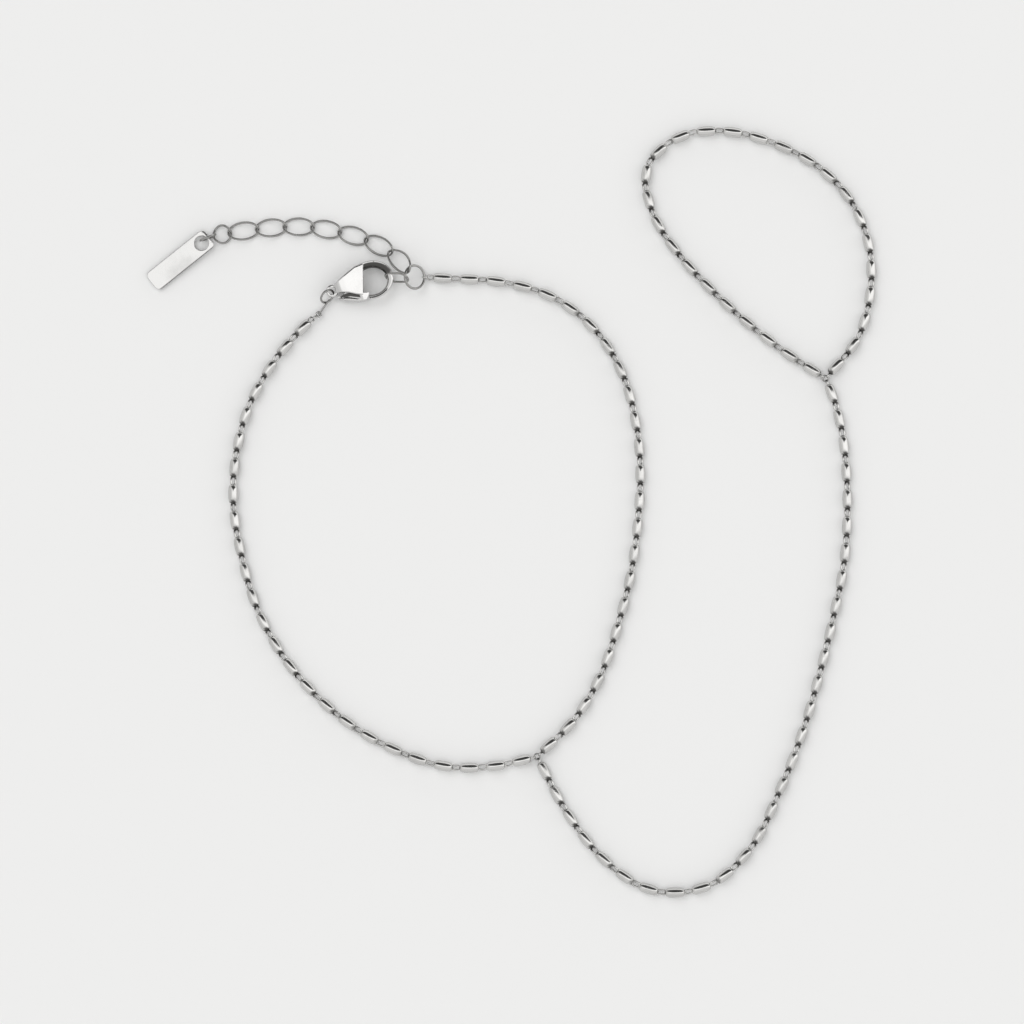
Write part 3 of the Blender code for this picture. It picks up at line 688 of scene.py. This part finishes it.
class HANDCHAIN_OT_runs(bpy.types.Operator):
    """Lays the bars and their joint rings along the four runs of chain"""

    bl_idname = "hand_chain.runs"
    bl_label = "Chain runs"

    def execute(self, context):
        sizes = context.scene.hand_chain_sizes
        height = sizes.bar_radius
        bar = bar_master(sizes, (LINK_PITCH - JOINT_GAP) * MM)
        wire = sizes.joint_wire
        joint_length = (JOINT_GAP + JOINT_OVERLAP) * MM
        joint = long_ring(joint_length, sizes.joint_width - 2 * wire, wire, JOINT_STEPS, JOINT_SIDES)
        # Painted shade on the half of each joint ring away from the front, faded like the bars'
        end_shade_marked(joint, lambda place: place.x < -0.10 * MM)
        for name, run in RUNS.items():
            route = smooth_route([Vector((x * MM, y * MM, height)) for x, y in run["points"]])
            total = route[1][-1]
            first = run["start"]["lead"] * MM
            last = total - run["end"]["lead"] * MM
            count = max(1, round((last - first + JOINT_GAP * MM) / (LINK_PITCH * MM)))
            pitch = (last - first + JOINT_GAP * MM) / count
            pieces = []
            gaps = [(-run["start"]["eye"] * MM, first)]
            for index in range(count):
                near = at_distance(route, first + index * pitch)
                far = at_distance(route, first + index * pitch + pitch - JOINT_GAP * MM)
                # Each bar turns its painted shade to the front and fades it where the bar lies across the
                # picture
                along, steep = shaded_end_side(far - near)
                place = placing((near + far) / 2 / MM, along)
                stretch = Matrix.Diagonal((along.length / ((LINK_PITCH - JOINT_GAP) * MM), 1, 1, 1))
                pieces.append(end_shade_faded(copied(bar, place @ stretch), steep))
                if index < count - 1:
                    end = first + index * pitch + pitch - JOINT_GAP * MM
                    gaps.append((end, end + JOINT_GAP * MM))
            gaps.append((last, total + run["end"]["eye"] * MM))
            for index, (start, end) in enumerate(gaps):
                rolls = [joint_roll(index)]
                if index == 0:
                    rolls = START_ROLLS[name]
                elif index == count:
                    rolls = END_ROLLS[name]
                pieces += self.joint_rings(joint, joint_length + 2 * wire, route, start, end, rolls)
            chain = joined(pieces, name)
            finished(chain, "chain", [name], "chain_steel")
        remove(bar)
        remove(joint)
        return {"FINISHED"}

    def joint_rings(self, joint, length, route, start, end, rolls):
        """Small rings in a row across a gap, one for each roll, each hooked into the next."""
        curve, travel = route
        total = travel[-1]

        def point(distance):
            if distance < 0:
                return curve[0] + (curve[1] - curve[0]).normalized() * distance
            if distance > total:
                return curve[-1] + (curve[-1] - curve[-2]).normalized() * (distance - total)
            return at_distance(route, distance)

        made = []
        step = (end - start) / len(rolls)
        for index, roll in enumerate(rolls):
            near = start + index * step
            far = near + step
            if near >= 0:
                near -= JOINT_REACH * MM
            if far <= total:
                far += JOINT_REACH * MM
            # Each joint ring turns its painted shade the same way as the bars and fades it alike
            along, steep = shaded_end_side(point(far) - point(near))
            stretch = Matrix.Diagonal((along.length / length, 1, 1, 1))
            ring = copied(joint, placing((point(near) + point(far)) / 2 / MM, along, roll) @ stretch)
            made.append(end_shade_faded(ring, steep))
        return made


class HANDCHAIN_OT_rings(bpy.types.Operator):
    """Makes the jump rings and the two straight-sided links by the clasp"""

    bl_idname = "hand_chain.rings"
    bl_label = "Rings and links"

    def execute(self, context):
        for name, (centre, along, roll, radius, wire) in RINGS.items():
            piece = ring_master(radius * MM, wire * MM, 48, 14)
            smoothed(piece, WIRE_SMOOTHING)
            self.place(piece, name, centre, along, roll)
        for name, (centre, along, roll, length, width, wire) in LINKS.items():
            piece = long_ring(length * MM, width * MM, wire * MM, 40, 12)
            self.place(piece, name, centre, along, roll)
        return {"FINISHED"}

    def place(self, piece, name, centre, along, roll):
        piece.name = name
        settle(piece, placing(centre, along, roll))
        finished(piece, "chain", [name], "wire_steel")


# Extender: centre in millimetres and facing of each link
EXTENDER = {
    "extender_link_01": ((-13.273, 29.854, 1.365), (-0.6206, 0.6803, -0.3899)),
    "extender_link_02": ((-15.799, 31.697, 0.626), (-0.8838, 0.4594, -0.0890)),
    "extender_link_03": ((-18.857, 32.879, 0.493), (-0.9611, 0.2761, -0.0004)),
    "extender_link_04": ((-22.069, 33.617, 0.493), (-0.9835, 0.1807, 0.0)),
    "extender_link_05": ((-25.344, 33.923, 0.493), (-0.9998, 0.0214, 0.0)),
    "extender_link_06": ((-28.638, 33.800, 0.493), (-0.9964, -0.0850, 0.0)),
    "extender_link_07": ((-31.924, 33.427, 0.493), (-0.9907, -0.1358, 0.0)),
    "extender_end_ring": ((-34.444, 33.041, 0.493), (-0.9850, -0.1723, 0.0)),
}
EXTENDER_LENGTH = 3.64
EXTENDER_WIDTH = 2.0
LAST_LINK_LENGTH = 2.14
EXTENDER_TWIST = 80


def oval_wire(length, width, wire, twist):
    """A closed oval of round wire, drawn as a curve, made a mesh and twisted about its length."""
    deselect_all()
    bpy.ops.curve.primitive_bezier_circle_add(radius=1.0)
    piece = bpy.context.object
    piece.data.bevel_depth = wire
    piece.data.bevel_resolution = 4
    piece.data.resolution_u = 10
    bpy.ops.object.mode_set(mode="EDIT")
    bpy.ops.curve.select_all(action="SELECT")
    bpy.ops.transform.resize(value=(length / 2, width / 2, 1))
    bpy.ops.object.mode_set(mode="OBJECT")
    bpy.ops.object.convert(target="MESH")
    bpy.ops.object.mode_set(mode="EDIT")
    bpy.ops.mesh.select_all(action="SELECT")
    bpy.ops.mesh.remove_doubles(threshold=0.0005 * MM)
    bpy.ops.mesh.normals_make_consistent(inside=False)
    bpy.ops.object.mode_set(mode="OBJECT")
    turning = piece.modifiers.new("twist", "SIMPLE_DEFORM")
    turning.deform_method = "TWIST"
    turning.deform_axis = "X"
    turning.angle = math.radians(twist)
    bpy.ops.object.modifier_apply(modifier=turning.name)
    smoothed(piece, WIRE_SMOOTHING)
    return piece


class HANDCHAIN_OT_extender(bpy.types.Operator):
    """Makes the twisted oval links of the extender and the rounder last one"""

    bl_idname = "hand_chain.extender"
    bl_label = "Extender"

    def execute(self, context):
        wire = context.scene.hand_chain_sizes.extender_wire
        oval = oval_wire(EXTENDER_LENGTH * MM, EXTENDER_WIDTH * MM, wire, EXTENDER_TWIST)
        last = oval_wire(LAST_LINK_LENGTH * MM, LAST_LINK_LENGTH * MM, wire, EXTENDER_TWIST)
        for name, (centre, along) in EXTENDER.items():
            master = last if name == "extender_end_ring" else oval
            link = copied(master, placing(centre, along))
            link.name = name
            finished(link, "chain", [name], "wire_steel")
        remove(oval)
        remove(last)
        return {"FINISHED"}


TAG_PLACE = placing((-35.975, 32.713, 0.295), (-0.7822, -0.6222, -0.0336))
TAG_CORNER = 0.6
TAG_EASE = 0.07
TAG_HOLE_RADIUS = 0.86
TAG_HOLE_MIDDLE = 1.18


class HANDCHAIN_OT_tag(bpy.types.Operator):
    """Makes the bare tag with its hole and rounded corners"""

    bl_idname = "hand_chain.tag"
    bl_label = "Tag"

    def execute(self, context):
        sizes = context.scene.hand_chain_sizes
        deselect_all()
        middle = (sizes.tag_length / 2, 0, sizes.tag_thickness / 2)
        bpy.ops.mesh.primitive_cube_add(size=1, location=middle)
        tag = bpy.context.object
        tag.name = "tag"
        bpy.ops.object.mode_set(mode="EDIT")
        bpy.ops.mesh.select_all(action="SELECT")
        bpy.ops.transform.resize(value=(sizes.tag_length, sizes.tag_width, sizes.tag_thickness))
        bpy.ops.mesh.select_mode(type="EDGE")
        bpy.ops.mesh.select_all(action="DESELECT")
        mesh = bmesh.from_edit_mesh(tag.data)
        for edge in mesh.edges:
            near, far = edge.verts
            edge.select_set(abs(near.co.z - far.co.z) > sizes.tag_thickness / 2)
        bmesh.update_edit_mesh(tag.data)
        bpy.ops.mesh.bevel(offset=TAG_CORNER * MM, segments=8)
        bpy.ops.mesh.select_mode(type="VERT")
        bpy.ops.object.mode_set(mode="OBJECT")
        bpy.ops.object.transform_apply(location=True, rotation=True, scale=True)
        deselect_all()
        deep = 2 * sizes.tag_thickness / MM
        hole = pin("tag_hole", (TAG_HOLE_MIDDLE, 0), TAG_HOLE_RADIUS, -deep, deep, 64)
        combined(tag, hole, "DIFFERENCE")
        edge_rounded(tag, TAG_EASE * MM, 40, 3)
        smoothed(tag, 35)
        flat_faces_kept(tag)
        settle(tag, TAG_PLACE)
        finished(tag, "chain", ["tag"], "tag_steel")
        return {"FINISHED"}


# Clasp: its own axes run from the hole in the tail to the nose, in millimetres
CLASP_PLACE = placing((-21.309, 26.260, 0.0), (0.9613, 0.2756, 0))
CLASP_MIDDLE = 1.1
REACH = 7.53
HALF_WIDTH = 2.28
HOOK_LENGTH = 2.78
MOUTH_LENGTH = 1.83
MOUTH_WIDTH = 1.55
NOSE_BAND = 0.85
MOUTH_DROP = 0.18
MOUTH_MIDDLE = REACH - NOSE_BAND - MOUTH_LENGTH
HOOK_START = 128
HOOK_TIP = -112
HOOK_THICKNESS = 2.2
NOSE_THICKNESS = 1.1
HOOK_STEPS = 40
PLATE_STEPS = 20
TAIL_RADIUS = 0.76
TAIL_HALF = 0.275
TAIL_HOLE_RADIUS = 0.43
SLOT_HALF = 0.6
RIVET_RADIUS = 0.22
RIVET_HALF = 0.85
GATE_ROOM = 0.06
THROUGH = (-2.2, 4.4)
PIVOT = Vector((1.8976, -0.2052, 0))
PLATE_SECTIONS = [
    {"low": (0.23, -0.39), "high": (0.26, 0.57), "thick": 0.92},
    {"low": (0.98, -0.48), "high": (0.90, 0.96), "thick": 1.98},
    {"low": (1.88, -0.78), "high": (1.81, 1.39), "thick": 2.18},
    {"low": (2.71, -1.21), "high": (2.56, 1.73), "thick": 2.20},
    {"low": (3.31, -1.46), "high": (3.31, 2.05), "thick": 2.20},
    {"low": (3.40, -1.48), "high": (4.40, 2.17), "thick": 2.20},
]
SLOT_OUTLINE = [(1.11, -3.2), (1.03, -0.34), (1.51, 0.34), (3.16, 0.75), (4.22, 0.82), (3.99, -3.2)]

# Across the hook's band: share from the outer to the inner edge and share of half the height
BAND_SECTION = [
    (0.0, 0.45), (0.03, 0.72), (0.10, 0.92), (0.20, 1.0), (0.32, 0.985),
    (0.50, 0.90), (0.70, 0.74), (0.88, 0.50), (0.97, 0.25), (1.0, 0.0),
]


def hook_edges(turn):
    """Outer and inner point of the hook's band at an angle about its middle, in millimetres."""
    along = math.cos(turn)
    across = math.sin(turn)
    outer = Vector((REACH - HOOK_LENGTH + HOOK_LENGTH * along, HALF_WIDTH * across, CLASP_MIDDLE))
    inner = Vector((MOUTH_MIDDLE + MOUTH_LENGTH * along, -MOUTH_DROP + MOUTH_WIDTH * across, CLASP_MIDDLE))
    return outer, inner


def gate_radius():
    outer, inner = hook_edges(math.radians(HOOK_TIP))
    middle = (outer + inner) / 2
    return (Vector((middle.x, middle.y, 0)) - PIVOT).length - GATE_ROOM


def prism(name, outline, low, high):
    sections = [[Vector((x * MM, y * MM, height * MM)) for x, y in outline] for height in (low, high)]
    return skinned(name, sections)


def pin(name, place, radius, low, high, sides):
    deselect_all()
    bpy.ops.mesh.primitive_cylinder_add(vertices=sides, radius=radius * MM, depth=(high - low) * MM,
                                        location=(place[0] * MM, place[1] * MM, (low + high) / 2 * MM))
    piece = bpy.context.object
    piece.name = name
    bpy.ops.object.transform_apply(location=True, rotation=True, scale=True)
    return piece


def between(rows, place):
    """Values between the rows of a table whose first column is the place."""
    for near, far in zip(rows, rows[1:]):
        if place <= far[0]:
            share = (place - near[0]) / (far[0] - near[0])
            return [a + (b - a) * share for a, b in zip(near[1:], far[1:])]
    return list(rows[-1][1:])


def hook_band():
    sections = []
    start = math.radians(HOOK_START)
    tip = math.radians(HOOK_TIP - 12)
    for step in range(HOOK_STEPS + 1):
        turn = start + (tip - start) * step / HOOK_STEPS
        outer, inner = hook_edges(turn)
        share = min(1.0, (start - turn) / start)
        ease = share * share * (3 - 2 * share)
        half = (HOOK_THICKNESS + (NOSE_THICKNESS - HOOK_THICKNESS) * ease) / 2
        upper = [outer.lerp(inner, across) + UP * half * tall for across, tall in BAND_SECTION]
        turned = reversed(BAND_SECTION[:-1])
        lower = [outer.lerp(inner, across) - UP * half * tall for across, tall in turned]
        sections.append([point * MM for point in upper + lower])
    return skinned("hook_band", sections)


def plates():
    """The two cheeks in one solid, which the slot then parts: flat on top, with an eased upper edge."""
    sections = []
    rows = []
    for index, row in enumerate(PLATE_SECTIONS):
        rows.append((float(index), *row["low"], *row["high"], row["thick"]))
    for step in range(PLATE_STEPS + 1):
        low_x, low_y, high_x, high_y, thick = between(rows, step / PLATE_STEPS * (len(rows) - 1))
        low = Vector((low_x, low_y, CLASP_MIDDLE))
        high = Vector((high_x, high_y, CLASP_MIDDLE))
        out = (high - low).normalized()
        half = thick / 2
        ease = min(0.15, half * 0.25)
        top = [
            low + UP * (half - 0.10),
            low + out * 0.03 + UP * (half - 0.03),
            low + out * 0.10 + UP * half,
            low + out * 0.18 + UP * half,
            high - out * ease * 1.5 + UP * half,
            high - out * ease * 1.3 + UP * half,
            high - out * ease * 0.7 + UP * (half - ease * 0.15),
            high - out * ease * 0.25 + UP * (half - ease * 0.5),
            high + UP * (half - ease * 1.1),
        ]
        bottom = [Vector((p.x, p.y, 2 * CLASP_MIDDLE - p.z)) for p in reversed(top)]
        sections.append([point * MM for point in top + bottom])
    return skinned("plates", sections)


class HANDCHAIN_OT_clasp_body(bpy.types.Operator):
    """Makes the clasp's hook, cheeks, tail and rivet"""

    bl_idname = "hand_chain.clasp_body"
    bl_label = "Clasp body"

    def execute(self, context):
        body = hook_band()
        reach = gate_radius() + GATE_ROOM
        sweep = [math.radians(-70 + 60 * step / 16) for step in range(17)]
        sector = [(PIVOT.x, PIVOT.y)]
        sector += [(PIVOT.x + reach * math.cos(turn), PIVOT.y + reach * math.sin(turn)) for turn in sweep]
        combined(body, prism("tip_cut", sector, *THROUGH), "DIFFERENCE")
        combined(body, plates(), "UNION")
        tail = pin("tail", (0, 0), TAIL_RADIUS, CLASP_MIDDLE - TAIL_HALF, CLASP_MIDDLE + TAIL_HALF, 48)
        edge_rounded(tail, 0.14 * MM, 60, 3)
        combined(body, tail, "UNION")
        combined(body, pin("tail_hole", (0, 0), TAIL_HOLE_RADIUS, *THROUGH, 36), "DIFFERENCE")
        slot = prism("slot", SLOT_OUTLINE, CLASP_MIDDLE - SLOT_HALF, CLASP_MIDDLE + SLOT_HALF)
        combined(body, slot, "DIFFERENCE")
        rivet = pin("rivet", PIVOT, RIVET_RADIUS, CLASP_MIDDLE - RIVET_HALF, CLASP_MIDDLE + RIVET_HALF, 32)
        combined(body, rivet, "UNION")
        edge_rounded(body, 0.035 * MM, 45, 2)
        smoothed(body, 35)
        flat_faces_kept(body)
        body.name = "clasp_body"
        settle(body, CLASP_PLACE)
        finished(body, "chain", ["clasp_body"], "clasp_steel")
        return {"FINISHED"}


# Lever: place along the clasp, inner edge, line of the cheek's edge, outer edge, share of the groove
LEVER_ROWS = [
    (0.42, -0.99, -0.99, -1.08, 0.0),
    (0.56, -0.87, -0.90, -1.15, 0.3),
    (0.75, -0.87, -0.90, -1.28, 0.6),
    (0.94, -0.91, -0.93, -1.41, 0.8),
    (1.24, -0.74, -0.80, -1.55, 1.0),
    (1.47, -0.60, -0.66, -1.66, 1.0),
    (1.90, -0.58, -0.78, -1.82, 1.0),
    (2.30, -0.56, -0.98, -1.98, 1.0),
    (2.71, -0.62, -1.21, -2.12, 1.0),
    (3.05, -1.02, -1.35, -2.20, 0.7),
    (3.30, -1.12, -1.42, -2.25, 0.0),
    (3.61, -1.28, -1.45, -2.28, 0.0),
    (4.22, -1.37, -1.50, -2.27, 0.0),
    (4.90, -1.40, -1.50, -2.24, 0.0),
]
LEVER_START = 0.42
LEVER_END = 4.90
LEVER_STEPS = 32
LEVER_HALF = 0.55
HUB_RADIUS = 0.55
RIVET_HOLE_RADIUS = 0.27
TAB_HOLE = (1.02, -1.16)
TAB_HOLE_RADIUS = 0.13


class HANDCHAIN_OT_clasp_lever(bpy.types.Operator):
    """Makes the clasp's sprung lever with its grooved back, thumb tab and gate"""

    bl_idname = "hand_chain.clasp_lever"
    bl_label = "Clasp lever"

    def execute(self, context):
        sections = []
        half = LEVER_HALF
        for step in range(LEVER_STEPS + 1):
            along = LEVER_START + (LEVER_END - LEVER_START) * step / LEVER_STEPS
            inner, cheek, outer, groove = between(LEVER_ROWS, along)
            width = cheek - outer
            deep = 0.55 * width * 0.42 * groove
            top = [
                (inner, half - 0.06),
                (inner - 0.02, half),
                (cheek - 0.02, half),
                (cheek - 0.14 * width, half - 0.10 * deep),
                (cheek - 0.32 * width, half - 0.70 * deep),
                (cheek - 0.48 * width, half - deep),
                (cheek - 0.62 * width, half - 0.80 * deep),
                (cheek - 0.76 * width, half - 0.62 * deep),
                (cheek - 0.88 * width, half - 0.03 - 0.68 * deep),
                (cheek - 0.95 * width, half - 0.09 - 0.78 * deep),
                (outer, half - 0.22 - 0.85 * deep),
            ]
            points = [Vector((along, across, CLASP_MIDDLE + tall)) for across, tall in top]
            points += [Vector((along, across, CLASP_MIDDLE - tall)) for across, tall in reversed(top)]
            sections.append([point * MM for point in points])
        lever = skinned("lever", sections)
        low = CLASP_MIDDLE - half
        high = CLASP_MIDDLE + half
        combined(lever, pin("hub", PIVOT, HUB_RADIUS, low, high, 48), "UNION")
        combined(lever, pin("gate_end", PIVOT, gate_radius(), low - 1, high + 1, 160), "INTERSECT")
        combined(lever, pin("rivet_hole", PIVOT, RIVET_HOLE_RADIUS, low - 1, high + 1, 32), "DIFFERENCE")
        combined(lever, pin("tab_hole", TAB_HOLE, TAB_HOLE_RADIUS, low - 1, high + 1, 24), "DIFFERENCE")
        smoothed(lever, 50)
        lever.name = "clasp_lever"
        settle(lever, CLASP_PLACE)
        finished(lever, "lever", ["clasp_lever"], "clasp_steel")
        return {"FINISHED"}


VIEW_WIDTH = 1024 / 8400
VIEW_HEIGHT = 0.55
VIEW_MIDDLE = (0.0588 * MM, -0.0256 * MM)
FLOOR_SIZE = 4.0

# Light: side of the dark sector, strength of the tent, tones of its parts, and a lamp for soft shadows
DARK_SIDE = (0.12, 0.993, 0.0)
TENT_STRENGTH = 1.5
DARK_TONE = 0.05
LEFT_TONE = 0.58
FRONT_TONE = 0.60
LOW_TONE = 0.85
SUN_STRENGTH = 1.1
SUN_WIDTH = 50
SUN_FROM = (-0.45, 0.75, 0.95)


class HANDCHAIN_OT_stage(bpy.types.Operator):
    """Makes the pale surface, the soft light all round and the camera"""

    bl_idname = "hand_chain.stage"
    bl_label = "Stage"

    def execute(self, context):
        deselect_all()
        bpy.ops.mesh.primitive_plane_add(size=FLOOR_SIZE)
        floor = bpy.context.object
        floor.name = "floor"
        material = bpy.data.materials.new("pale_surface")
        material.use_nodes = True
        tree = material.node_tree
        shader = tree.nodes["Principled BSDF"]
        shader.inputs["Roughness"].default_value = 0.85
        shader.inputs["Specular IOR Level"].default_value = 0.1
        place = node(tree, "ShaderNodeTexCoord")
        noise = node(tree, "ShaderNodeTexNoise")
        noise.inputs["Scale"].default_value = 14.0
        tree.links.new(place.outputs["Object"], noise.inputs["Vector"])
        tone = tuple(context.scene.hand_chain_finish.floor_colour)
        darker = [channel * 0.995 for channel in tone]
        mixed = mix_node(tree, noise.outputs["Fac"], (*tone, 1), (*darker, 1))
        tree.links.new(mixed, shader.inputs["Base Color"])
        floor.data.materials.append(material)
        self.light(context)
        self.soft_sun(context)
        self.camera(context)
        return {"FINISHED"}

    def light(self, context):
        """A bright tent with one dark side and two grey ones, which the polished metal mirrors."""
        world = bpy.data.worlds.new("light_tent")
        context.scene.world = world
        world.use_nodes = True
        tree = world.node_tree
        background = tree.nodes["Background"]
        direction = node(tree, "ShaderNodeTexCoord").outputs["Generated"]
        parts = node(tree, "ShaderNodeSeparateXYZ")
        tree.links.new(direction, parts.inputs["Vector"])
        toward = dot_node(tree, direction, DARK_SIDE)
        across = dot_node(tree, direction, (-DARK_SIDE[1], DARK_SIDE[0], 0))
        spread = product(tree, math_node(tree, "ABSOLUTE", across, 0.0), 0.45)
        wedge = range_node(tree, math_node(tree, "SUBTRACT", toward, spread), 0.03, 0.18, 0.0, 1.0)
        upper = range_node(tree, parts.outputs["Z"], 0.22, 0.40, 0.0, 1.0)
        dark = range_node(tree, product(tree, wedge, upper), 0.0, 1.0, 1.0, DARK_TONE)
        side = range_node(tree, parts.outputs["X"], -0.70, -0.1, LEFT_TONE, 1.0)
        near = range_node(tree, parts.outputs["Y"], -0.28, -0.03, FRONT_TONE, 1.0)
        grey = math_node(tree, "MINIMUM", side, near)
        low = range_node(tree, parts.outputs["Z"], 0.1, 0.45, LOW_TONE, 1.0)
        level = product(tree, dark, grey, low, TENT_STRENGTH)
        tree.links.new(level, background.inputs["Strength"])
        background.inputs["Color"].default_value = (1.0, 0.998, 0.99, 1)
        context.scene.view_settings.view_transform = "Standard"

    def soft_sun(self, context):
        """A wide lamp at the upper left, which draws the soft shadows and isn't mirrored."""
        lamp = bpy.data.lights.new("soft_sun", "SUN")
        lamp.energy = SUN_STRENGTH
        lamp.angle = math.radians(SUN_WIDTH)
        sun = bpy.data.objects.new("soft_sun", lamp)
        context.collection.objects.link(sun)
        sun.rotation_euler = Vector(SUN_FROM).to_track_quat("Z", "Y").to_euler()
        sun.visible_glossy = False

    def camera(self, context):
        lens = bpy.data.cameras.new("camera")
        camera = bpy.data.objects.new("camera", lens)
        context.collection.objects.link(camera)
        camera.location = (*VIEW_MIDDLE, VIEW_HEIGHT)
        lens.sensor_width = 36
        lens.lens = 36 * (VIEW_HEIGHT - 0.6 * MM) / VIEW_WIDTH
        lens.clip_start = 0.01
        lens.clip_end = 20
        context.scene.camera = camera


class HANDCHAIN_PT_panel(bpy.types.Panel):
    """Lists the sizes, the finishes and the steps"""

    bl_idname = "HANDCHAIN_PT_panel"
    bl_label = "Hand Chain"
    bl_space_type = "VIEW_3D"
    bl_region_type = "UI"
    bl_category = "Hand Chain"

    def draw(self, context):
        layout = self.layout
        for group in (context.scene.hand_chain_sizes, context.scene.hand_chain_finish):
            column = layout.column()
            for label in group.__annotations__:
                column.prop(group, label)
        for step in STEPS:
            layout.operator("hand_chain." + step)


STEPS = ("runs", "rings", "extender", "tag", "clasp_body", "clasp_lever", "stage")
CLASSES = (
    HandChainSizes, HandChainFinish, HANDCHAIN_OT_runs, HANDCHAIN_OT_rings, HANDCHAIN_OT_extender,
    HANDCHAIN_OT_tag, HANDCHAIN_OT_clasp_body, HANDCHAIN_OT_clasp_lever, HANDCHAIN_OT_stage,
    HANDCHAIN_PT_panel,
)


def register():
    for kind in CLASSES:
        bpy.utils.register_class(kind)
    bpy.types.Scene.hand_chain_sizes = PointerProperty(type=HandChainSizes)
    bpy.types.Scene.hand_chain_finish = PointerProperty(type=HandChainFinish)


def unregister():
    del bpy.types.Scene.hand_chain_finish
    del bpy.types.Scene.hand_chain_sizes
    for kind in reversed(CLASSES):
        bpy.utils.unregister_class(kind)


def main():
    register()
    for step in STEPS:
        getattr(bpy.ops.hand_chain, step)()


if __name__ == "__main__":
    main()
